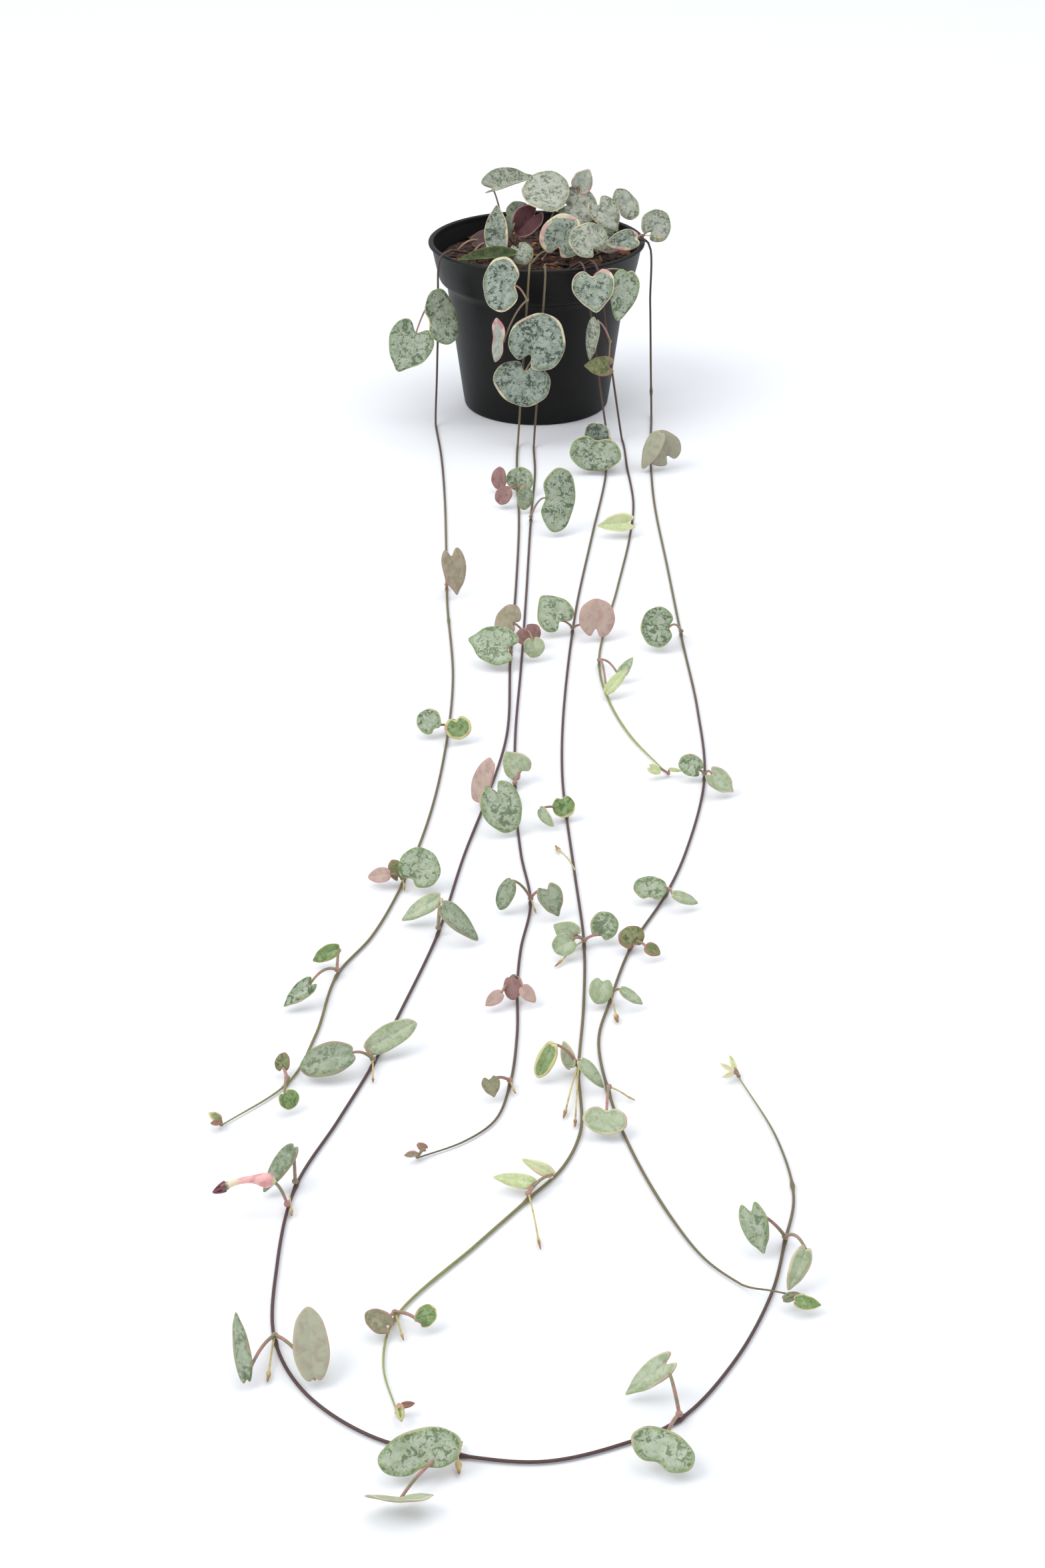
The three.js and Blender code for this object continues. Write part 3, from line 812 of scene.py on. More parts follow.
@dataclass
class Pot:
    """A round nursery pot: a thin tapered wall, a wider rim band, a lip and drain holes.

    ring is the width of the ring that it stands on, and ring_slope that of the ring's inner side.
    """

    finishes: Finishes
    sides: int = 160
    fillet: float = 0.6
    ring: float = 5.5
    ring_slope: float = 1.5

    def rounded(self, corners: Sequence[tuple[float, float, float]]) -> list[tuple[float, float]]:
        """Rounds the corners of a closed profile.

        Args:
            corners: radius, height and fillet of each corner.

        Returns:
            The profile's points.
        """
        profile: list[tuple[float, float]] = []
        count = len(corners)
        for i, (r, z, size) in enumerate(corners):
            here = np.array([r, z])
            before = np.array(corners[i - 1][:2]) - here
            after = np.array(corners[(i + 1) % count][:2]) - here
            reach = min(size, 0.45 * np.linalg.norm(before), 0.45 * np.linalg.norm(after))
            if reach < 0.05:
                profile.append((r, z))
                continue
            start = here + before / np.linalg.norm(before) * reach
            end = here + after / np.linalg.norm(after) * reach
            for t in (0.0, 0.33, 0.67, 1.0):
                point = (1 - t) ** 2 * start + 2 * t * (1 - t) * here + t ** 2 * end
                profile.append((float(point[0]), float(point[1])))
        return profile

    def build(self) -> bpy.types.Object:
        """Makes the pot.

        Returns:
            The pot's object.
        """
        lip_foot = POT_HEIGHT - LIP_HEIGHT
        soft = self.fillet
        flare = WALL_TOP_RADIUS - FOOT_RADIUS
        ring_inside = FOOT_RADIUS - self.ring
        corners = [
            (HUB_RADIUS, FLOOR_LIFT, 0), (ring_inside - self.ring_slope, FLOOR_LIFT, 0.3),
            (ring_inside, 0.0, 0.5), (FOOT_RADIUS - 0.6, 0.0, 0.4), (FOOT_RADIUS, 0.9, 0.6),
            (FOOT_RADIUS + 0.12 * flare, 0.12 * BAND_FOOT, 0),
            (FOOT_RADIUS + 0.5 * flare, 0.5 * BAND_FOOT, 0), (WALL_TOP_RADIUS - 0.5, BAND_FOOT - 3.6, 0.8),
            (WALL_TOP_RADIUS + 0.4, BAND_FOOT - 1.0, 0.8), (BAND_FOOT_RADIUS - 0.3, BAND_FOOT + 0.2, soft),
            (BAND_FOOT_RADIUS + 0.3, BAND_FOOT + 1.4, soft), (BAND_TOP_RADIUS - 1.6, lip_foot - 8, 0),
            (BAND_TOP_RADIUS, lip_foot - 0.2, 0.4),
            (RIM_RADIUS - 0.1, lip_foot + 0.2, 0.5), (RIM_RADIUS, POT_HEIGHT - 0.5, 0.7),
            (RIM_RADIUS - 0.7, POT_HEIGHT, 0.6), (RIM_RADIUS - LIP_WIDTH, POT_HEIGHT - 0.2, 0.5),
            (BAND_TOP_RADIUS - WALL, lip_foot - 0.6, 0.5),
            (BAND_FOOT_RADIUS - WALL, BAND_FOOT + WALL, 0.5), (WALL_TOP_RADIUS - WALL, BAND_FOOT, 0.5),
            (inside_radius(POT_FLOOR), POT_FLOOR, 0.4),
            (HUB_RADIUS, POT_FLOOR, 0),
        ]
        form = Form()
        points, faces = lathe(self.rounded(corners), self.sides)
        form.add(points, faces)
        # The floor's middle is a disc of its own, because the turned profile closes on itself
        edge = HUB_RADIUS + HUB_OVERLAP
        disc = [(NEAR_AXIS, FLOOR_LIFT), (edge, FLOOR_LIFT), (edge, POT_FLOOR), (NEAR_AXIS, POT_FLOOR)]
        points, faces = lathe(disc, self.sides // 4)
        form.add(points, faces)
        pot = form.build("nursery_pot", [self.finishes.pot], ["pot"], "pot", 60.0)
        self.drill(pot)
        return pot

    def drill(self, pot: bpy.types.Object) -> None:
        """Cuts the drain holes through the floor.

        Args:
            pot: the object to cut.
        """
        cutter = bmesh.new()
        reach = (FOOT_RADIUS - DRAIN_INSET) * MM
        for i in range(DRAIN_HOLES):
            angle = (i + 0.5) / DRAIN_HOLES * TAU
            place = Matrix.Translation((reach * math.cos(angle), reach * math.sin(angle), 0))
            bmesh.ops.create_cone(
                cutter, cap_ends=True, segments=28, radius1=DRAIN_RADIUS * MM, radius2=DRAIN_RADIUS * MM,
                depth=4 * POT_FLOOR * MM, matrix=place)
        mesh = bpy.data.meshes.new("drain_cutter")
        cutter.to_mesh(mesh)
        cutter.free()
        drills = bpy.data.objects.new("drain_cutter", mesh)
        bpy.context.scene.collection.objects.link(drills)
        cut = pot.modifiers.new("drains", "BOOLEAN")
        cut.operation, cut.object, cut.solver = "DIFFERENCE", drills, "EXACT"
        cut.use_self = True
        bpy.context.view_layer.update()
        ready = pot.evaluated_get(bpy.context.evaluated_depsgraph_get())
        pot.data = bpy.data.meshes.new_from_object(ready)
        pot.modifiers.clear()
        bpy.data.objects.remove(drills)


@dataclass
class Soil:
    """Lumpy potting soil with bark chips, fibres and crumbs scattered over it.

    litter_reach and fibre_reach are how far from the middle the bits' middles fall, and
    fibre_limit is how far a fibre's ends may go.
    """

    finishes: Finishes
    rings: int = 46
    sides: int = 132
    lump: float = 0.9
    chips: int = 150
    crumbs: int = 260
    fibres: int = 26
    litter_reach: float = 42.5
    fibre_reach: float = 40.0
    fibre_limit: float = 43.0
    seed: int = 11

    def surface(self, x: float, y: float) -> float:
        """Finds the height of the lumpy soil.

        Args:
            x: the place to the right.
            y: the place towards the back.

        Returns:
            The height there.
        """
        spot = Vector((x, y, 4.0))
        lumps = noise.fractal(spot * 0.16, 1.0, 2.0, 4) * 0.9 + noise.noise(spot * 0.7) * 0.5
        return soil_height(x, y) + self.lump * lumps

    def build(self) -> None:
        """Makes the soil and what lies on it."""
        edge = inside_radius(SOIL_TOP) - 0.5
        points = [(0.0, 0.0, self.surface(0, 0))]
        for k in range(1, self.rings + 1):
            radius = edge * (k / self.rings) ** 0.9
            for i in range(self.sides):
                angle = (i + 0.5 * (k % 2)) / self.sides * TAU
                x, y = radius * math.cos(angle), radius * math.sin(angle)
                points.append((x, y, self.surface(x, y)))
        for radius, z in ((inside_radius(BAND_FOOT + 2) - 2.5, BAND_FOOT + 1.6),
                          (inside_radius(BAND_FOOT - 1) - 0.6, BAND_FOOT - 0.6),
                          (inside_radius(POT_FLOOR) - 0.6, POT_FLOOR + 0.4)):
            for i in range(self.sides):
                angle = i / self.sides * TAU
                points.append((radius * math.cos(angle), radius * math.sin(angle), z))
        points.append((0.0, 0.0, POT_FLOOR + 0.4))
        total = self.rings + 3
        faces: list[Sequence[int]] = [(0, 1 + i, 1 + (i + 1) % self.sides) for i in range(self.sides)]
        for k in range(total - 1):
            for i in range(self.sides):
                j = (i + 1) % self.sides
                a, b = 1 + k * self.sides, 1 + (k + 1) * self.sides
                faces.append((a + i, b + i, b + j, a + j))
        last = 1 + (total - 1) * self.sides
        faces += [(last + (i + 1) % self.sides, last + i, len(points) - 1) for i in range(self.sides)]
        ground = Form()
        ground.add(np.array(points), faces)
        ground.build("potting_soil", [self.finishes.soil], ["soil"], "soil", 180.0)
        self.scatter()

    def scatter(self) -> None:
        """Lays bark chips, crumbs and fibres on the soil."""
        rng = np.random.default_rng(self.seed)
        litter = Form()
        for i in range(self.chips + self.crumbs):
            chip = i < self.chips
            radius = self.litter_reach * math.sqrt(rng.uniform(0.0, 1.0))
            angle = rng.uniform(0, TAU)
            x, y = radius * math.cos(angle), radius * math.sin(angle)
            long = rng.uniform(1.3, 3.6) if chip else rng.uniform(0.4, 1.0)
            size = (long, long * rng.uniform(0.35, 0.8), long * rng.uniform(0.2, 0.5))
            points, faces = drop(np.zeros(3), size, rng, 0.22)
            around = Matrix.Rotation(rng.uniform(0, TAU), 3, "Z")
            tilt = Matrix.Rotation(rng.uniform(-0.5, 0.5), 3, "X")
            points = points @ np.array(around @ tilt).T + np.array((x, y, self.surface(x, y) + 0.3 * size[2]))
            tint = rng.uniform(0.0, 1.0) ** (1.2 if chip else 2.0)
            litter.add(points, faces, tint=np.array(tint))
        for _ in range(self.fibres):
            radius = self.fibre_reach * math.sqrt(rng.uniform())
            angle, way = rng.uniform(0, TAU), rng.uniform(0, TAU)
            x, y = radius * math.cos(angle), radius * math.sin(angle)
            length = rng.uniform(4, 11)
            path = []
            for step in np.linspace(-0.5, 0.5, 7):
                bend = 0.12 * length * math.cos(5 * step + angle)
                px = x + length * step * math.cos(way) - bend * math.sin(way)
                py = y + length * step * math.sin(way) + bend * math.cos(way)
                near = min(1.0, self.fibre_limit / max(math.hypot(px, py), NEAR_AXIS))
                path.append((px * near, py * near, self.surface(px * near, py * near) + 0.5))
            points, faces, _ = tube(np.array(path), np.full(7, rng.uniform(0.15, 0.4)), 5)
            litter.add(points, faces, tint=np.array(rng.uniform(0.2, 0.8)))
        litter.build("soil_litter", [self.finishes.bark], [], "soil", 35.0)


# The stems


class StemLine:
    """The route of one stem: out of the soil, over the rim, beside the pot and along the floor."""

    def __init__(self, root: tuple[float, float], rim_angle: float, landing: tuple[float, float],
                 trail: Sequence[tuple[float, ...]]) -> None:
        """Works out the points that the stem passes.

        Args:
            root: where it leaves the soil, x and y.
            rim_angle: where it crosses the rim, in degrees.
            landing: how far from there, in x and y, it touches the floor.
            trail: its points along the floor: x, y, and z where it lies on another stem.
        """
        angle = math.radians(rim_angle)
        way = np.array((math.cos(angle), math.sin(angle), 0.0))

        def at(radius: float, z: float) -> np.ndarray:
            """Returns the point at a radius and height over the rim's crossing."""
            return way * radius + np.array((0.0, 0.0, z))

        over = POT_HEIGHT + STEM_RADIUS + 2 * GAP
        hang = RIM_RADIUS + STEM_RADIUS + HANG_GAP
        land = at(hang, 0) + np.array((*landing, 0.0))
        foot = np.array((*root, soil_height(*root) + 2 * GAP + STEM_RADIUS))
        inside = foot + INSIDE_SHARE * (at(RIM_RADIUS, 0) - foot)
        inside[2] = POT_HEIGHT - INSIDE_DROP
        points = [foot, inside, at(RIM_RADIUS - LIP_WIDTH, over + LIP_CLIMB),
                  at(hang - HANG_BEND, POT_HEIGHT - HANG_DROP)]
        for share in HANG_SHARES:
            point = at(hang, 0) + (1 - share) * (land - at(hang, 0))
            point[2] = POT_HEIGHT * share
            points.append(point)
        land[2] = LIE
        points.append(land)
        points += [np.array((p[0], p[1], p[2] if len(p) > 2 else LIE)) for p in trail]
        self.points = np.array(points)

    def at(self, index: float) -> np.ndarray:
        """Finds a point of the stem, on a smooth curve through its points.

        Args:
            index: its place along the stem, counted in points.

        Returns:
            The point.
        """
        p, last = self.points, len(self.points) - 1
        i = min(int(math.floor(index)), last - 1)
        t = index - i
        p1, p2 = p[i], p[i + 1]
        p0 = p[i - 1] if i > 0 else 2 * p[0] - p[1]
        p3 = p[i + 2] if i + 2 <= last else 2 * p[last] - p[last - 1]
        d0, d1, d2 = (math.sqrt(np.linalg.norm(b - a)) for a, b in ((p0, p1), (p1, p2), (p2, p3)))
        m1 = ((p1 - p0) / d0 - (p2 - p0) / (d0 + d1) + (p2 - p1) / d1) * d1
        m2 = ((p2 - p1) / d1 - (p3 - p1) / (d1 + d2) + (p3 - p2) / d2) * d1
        spot = p1 + m1 * t + (-3 * p1 + 3 * p2 - 2 * m1 - m2) * t ** 2 + (2 * p1 - 2 * p2 + m1 + m2) * t ** 3
        spot[2] = max(spot[2], LIE)
        return spot

    def bead(self, index: float) -> np.ndarray:
        """Finds where a leaf pair's swelling sits: on top where the stem lies, outside where it hangs.

        Args:
            index: the pair's place along the stem, counted in points.

        Returns:
            The swelling's middle.
        """
        here = self.at(index)
        last = len(self.points) - 1
        ahead = self.at(min(index + 0.002, last)) - self.at(max(index - 0.002, 0))
        ahead /= np.linalg.norm(ahead)
        out = np.array((here[0], here[1], 0.0))
        out = out / np.linalg.norm(out) if abs(ahead[2]) > 0.5 else np.array((0.0, 0.0, 1.0))
        return here + out * (STEM_RADIUS + GAP + BEAD_RADIUS)


# Each stem's root, the angle at which it crosses the rim, its landing and its trail
STEMS = {
    "left": StemLine((-32, 3), -147, (-3, -6), [
        (-43, -75), (-40, -125), (-38, -175), (-36, -232), (-32, -300), (-33, -352), (-37, -402),
        (-44, -445), (-52, -476), (-61, -497), (-65, -528), (-71, -551), (-87, -570)]),
    "long": StemLine((-1, -12), -94, (-5, -9), [
        (-9, -95), (-8, -150), (-9, -215), (-11, -285), (-12, -345), (-18, -388), (-25, -427),
        (-32, -474), (-41, -514), (-48, -542), (-56, -568), (-65, -596), (-67, -627), (-65, -654),
        (-56, -672), (-39, -686), (-21, -691), (-2, -693), (15, -688), (29, -680), (43, -661),
        (54, -637), (59, -618), (63, -600), (61, -576), (53, -548)]),
    "centre": StemLine((9, -19), -86, (-5, -10), [
        (-1, -95), (-3, -150), (-5, -225), (-7, -290), (-9, -345), (-9, -387), (-7, -427),
        (-4, -457), (-7, -483), (-8, -502), (-8, -527), (-10, -552), (-14, -568), (-22, -577),
        (-34, -584)]),
    "short": StemLine((17, -22), -59, (12, -9), [
        (40, -89), (41, -131), (38, -168), (31, -220), (22, -285), (24, -315), (31, -345),
        (43, -374)]),
    "middle": StemLine((12, -27), -66, (11, -9), [
        (30, -100), (22, -170), (14, -243), (8, -330), (7, -375), (8, -403), (10, -440),
        (12, -481), (11, -515), (9, -545), (9, -572), (4, -588), (-5, -601), (-18, -619),
        (-37, -646), (-39, -662), (-35, -678)]),
    "right": StemLine((24, -5), -7, (2, -17), [
        (51, -75), (50, -130), (52, -200), (54, -270), (56, -325), (55, -377), (46, -425),
        (38, -452), (26, -482), (19, -510), (15, -530), (17, -555), (22, -580), (31, -608),
        (39, -625), (47, -634), (54, -640, 4), (61, -641, 3)]),
}


# The leaves


@dataclass(frozen=True)
class Cut:
    """A blade's outline: how far its tip and notch reach, how wide they are, and its lobes' swell."""

    tip: float
    tip_width: float
    notch: float
    notch_width: float
    lobe: float


class Shape(Enum):
    """The kinds of blade outline."""

    HEART = Cut(0.1, 0.32, 0.2, 0.28, 0.16)
    ROUND = Cut(0.0, 0.3, 0.2, 0.16, 0.08)
    BEAN = Cut(0.0, 0.3, 0.13, 0.3, 0.0)
    LANCE = Cut(0.06, 0.4, 0.04, 0.2, 0.2)
    OVAL = Cut(0.0, 0.3, 0.02, 0.2, 0.04)


@dataclass(frozen=True)
class Leaf:
    """One leaf: where its blade is from its stem, how it is turned, its size, look and shape.

    pose is turn, face and yaw: face is how far the blade looks up, 0 to the front and 90
    straight up, yaw turns that look to the right, and turn is where the tip points in the
    blade's own plane, 0 up, 90 right and 180 down. A flipped leaf shows its underside there.
    cup, fold and curl are how strongly it is dished, creased along its midrib and bent at its tip.
    """

    offset: Point
    pose: Point
    size: tuple[float, float]
    look: Look
    shape: Shape = Shape.ROUND
    cup: float = 0.12
    fold: float = 0.1
    curl: float = 0.05
    flip: bool = False


def pose_matrix(turn: float, face: float, yaw: float) -> np.ndarray:
    """Finds the turn of a blade from its own plane into the plant's frame.

    Args:
        turn: where the tip points in the blade's own plane.
        face: how far the blade looks up.
        yaw: how far it looks to the right.

    Returns:
        The turn, as a 3 by 3 matrix.
    """
    tilt = Matrix.Rotation(math.radians(90 - face), 3, "X")
    around = Matrix.Rotation(math.radians(yaw), 3, "Z")
    return np.array(around @ tilt @ Matrix.Rotation(math.radians(-turn), 3, "Z"))


def outline(cut: Cut, count: int, size: tuple[float, float]) -> tuple[np.ndarray, np.ndarray, np.ndarray]:
    """Finds a blade's edge, from its tip round by its notch, with more points at both.

    Args:
        cut: the outline's kind.
        count: how many points.
        size: the blade's length and width.

    Returns:
        The points' angles, their x and their y.
    """
    even = np.arange(count) / count * TAU
    angles = even - 0.22 * np.sin(2 * even)
    length, width = size
    to_tip = np.minimum(angles, TAU - angles)
    tip = cut.tip * np.exp(-((to_tip / cut.tip_width) ** 2))
    notch = (cut.notch + 0.03) * np.exp(-(((math.pi - to_tip) / cut.notch_width) ** 2))
    x = 0.5 * width * np.sin(angles) * (1 - cut.lobe * np.cos(angles))
    return angles, x, length * (0.5 * np.cos(angles) + tip + notch)


@dataclass
class LeafMaker:
    """Builds fleshy blades and their stalks into one form."""

    form: Form
    seed: int
    around: int = 56
    shares: tuple[float, ...] = (0.0, 0.22, 0.42, 0.6, 0.75, 0.86, 0.93, 0.975, 1.0)

    def __post_init__(self) -> None:
        """Starts the maker's own random numbers."""
        self.rng = np.random.default_rng(self.seed)

    def lift(self, leaf: Leaf, x: np.ndarray, y: np.ndarray) -> np.ndarray:
        """Finds how far the blade's middle layer stands off its flat plane.

        Args:
            leaf: the leaf.
            x: places across the blade.
            y: places along it.

        Returns:
            The height at each place.
        """
        length, width = leaf.size
        bowl = leaf.cup * width * (0.9 * (x / width) ** 2 + 0.35 * (y / length) ** 2)
        crease = leaf.fold * (np.sqrt(x ** 2 + (0.05 * width) ** 2) - 0.05 * width)
        return bowl + crease - leaf.curl * length * np.maximum(y / length + 0.1, 0) ** 2 * 2

    def blade(self, leaf: Leaf, middle: np.ndarray, turn: np.ndarray, slot: int) -> None:
        """Adds a blade.

        Args:
            leaf: the leaf.
            middle: where its middle is.
            turn: its pose.
            slot: its material slot.
        """
        length, width = leaf.size
        angles, ex, ey = outline(leaf.shape.value, self.around, leaf.size)
        wobble = self.rng.uniform(0, TAU, 3)
        uneven = 1 + 0.018 * np.sin(3 * angles + wobble[0]) + 0.012 * np.sin(7 * angles + wobble[1])
        ex, ey = ex * uneven, ey * uneven
        wave = 0.02 * width * (np.sin(2 * angles + wobble[2]) + 0.5 * np.sin(5 * angles + wobble[1]))
        thick = min(BLADE_THICKNESS, 0.1 * length + 0.15)
        tops, lows, insets = [], [], []
        for r in self.shares:
            x, y = ex * r, ey * r
            z = self.lift(leaf, x, y) + wave * r ** 3
            half = 0.5 * thick * math.sqrt(max(1 - r ** 6, 0.0))
            narrow = 1 / math.sqrt(1 + leaf.fold ** 2)
            puff = half * (1 - 0.25 * np.exp(-((x / (0.06 * width)) ** 2)))
            tops.append(np.stack([x * narrow, y, z + puff], 1))
            lows.append(np.stack([x * narrow, y, z - half], 1))
            insets.append((1 - r) * np.hypot(ex, ey))
        n, last = self.around, len(self.shares) - 1
        points = [tops[0][:1]] + tops[1:] + [lows[0][:1]] + lows[1:-1]
        inset = [insets[0][:1]] + insets[1:] + [insets[0][:1]] + insets[1:-1]
        upper = [np.ones(1 + n * (last - 1)), np.full(n, 0.5), np.zeros(1 + n * (last - 1))]
        faces: list[Sequence[int]] = []
        low = 1 + n * last
        for i in range(n):
            j = (i + 1) % n
            faces.append((0, 1 + j, 1 + i))
            faces.append((low, low + 1 + i, low + 1 + j))
            for k in range(last - 1):
                a, b = 1 + k * n, 1 + (k + 1) * n
                faces.append((a + i, a + j, b + j, b + i))
                c = low + 1 + k * n
                d = low + 1 + (k + 1) * n if k < last - 2 else b
                faces.append((c + j, c + i, d + i, d + j))
        local = np.concatenate(points)
        marks = np.concatenate(upper)
        if leaf.flip:
            marks = 1 - marks
        placed = local @ turn.T + middle
        low_point = placed[:, 2].min()
        if low_point < GAP:
            placed[:, 2] += GAP - low_point
        self.form.add(placed, faces, slot, inset=np.concatenate(inset), upper=marks,
                      shade=np.array(self.rng.uniform(0, 1)))

    def leaf(self, leaf: Leaf, start: np.ndarray, origin: np.ndarray, slot: int, stalk_slot: int) -> None:
        """Adds a leaf and its stalk.

        Args:
            leaf: the leaf.
            start: where its stalk springs from.
            origin: the point that its offset is counted from.
            slot: its blade's material slot.
            stalk_slot: its stalk's material slot.
        """
        length = leaf.size[0]
        turn = pose_matrix(*leaf.pose)
        _, ex, ey = outline(leaf.shape.value, 20, leaf.size)
        flat = np.concatenate([np.stack([ex, ey, np.full(20, s)], 1)
                               for s in (-BLADE_THICKNESS / 2, BLADE_THICKNESS / 2)]) @ turn.T
        middle = origin + np.array(leaf.offset)
        middle[2] = max(middle[2], BLADE_REST - flat[:, 2].min())
        self.blade(leaf, middle, turn, slot)

        def on_blade(share: float) -> np.ndarray:
            """Finds a point of the midrib.

            Args:
                share: its place, as a share of the length from the middle.

            Returns:
                The point, in the plant's frame.
            """
            y = share * length
            z = float(self.lift(leaf, np.zeros(1), np.full(1, y))[0]) - 0.1
            return np.array((0.0, y, z)) @ turn.T + middle

        depth = leaf.shape.value.notch
        notch, end = on_blade(depth - 0.45), on_blade(2 * depth - 0.5)
        reach = float(np.linalg.norm(notch - start))
        bend = (start + notch) / 2 + np.array((0.0, 0.0, STALK_ARCH * reach))
        path = np.concatenate([bezier(start, bend, notch, 10), [end]])
        radii = np.concatenate([np.linspace(1.05, 0.85, 11), [0.4]]) * STALK_RADIUS
        points, faces, _ = tube(path, radii, 7)
        points[:, 2] = np.maximum(points[:, 2], STALK_LOWEST)
        self.form.add(points, faces, stalk_slot)


@dataclass
class Foliage:
    """The leaves on one stem or shoot, a piece for each swelling."""

    finishes: Finishes

    def group(self, name: str, node: str | None, start: np.ndarray, origin: np.ndarray,
              leaves: Sequence[Leaf], bead: float = 1.0) -> bpy.types.Object:
        """Makes one swelling with its leaves.

        Args:
            name: the piece's name.
            node: the CAD node that it replaces, if any.
            start: the middle of the swelling.
            origin: the point that the leaves' offsets are counted from.
            leaves: the leaves.
            bead: the swelling's size, as a share of the usual one.

        Returns:
            The object.
        """
        looks = sorted({leaf.look for leaf in leaves}, key=lambda look: look.name)
        form = Form()
        maker = LeafMaker(form, seed=sum(ord(c) * (i + 3) for i, c in enumerate(name)))
        for leaf in leaves:
            maker.leaf(leaf, start, origin, looks.index(leaf.look), len(looks))
        size = BEAD_RADIUS * bead
        points, faces = drop(start, (size, size, 0.85 * size))
        form.add(points, faces, len(looks))
        materials = [self.finishes.leaves[look] for look in looks] + [self.finishes.stalk]
        return form.build(name, materials, [node] if node else [], "leaf", 80.0)


(SILVER, FROSTED, CREAM, BLUSHED, MOTTLED, SAGE, LIME, GREEN, PALE, YELLOW, OLIVE, KHAKI, ROSE, PINK,
 PLUM, DEEP) = Look
HEART, ROUND, BEAN, LANCE, OVAL = Shape

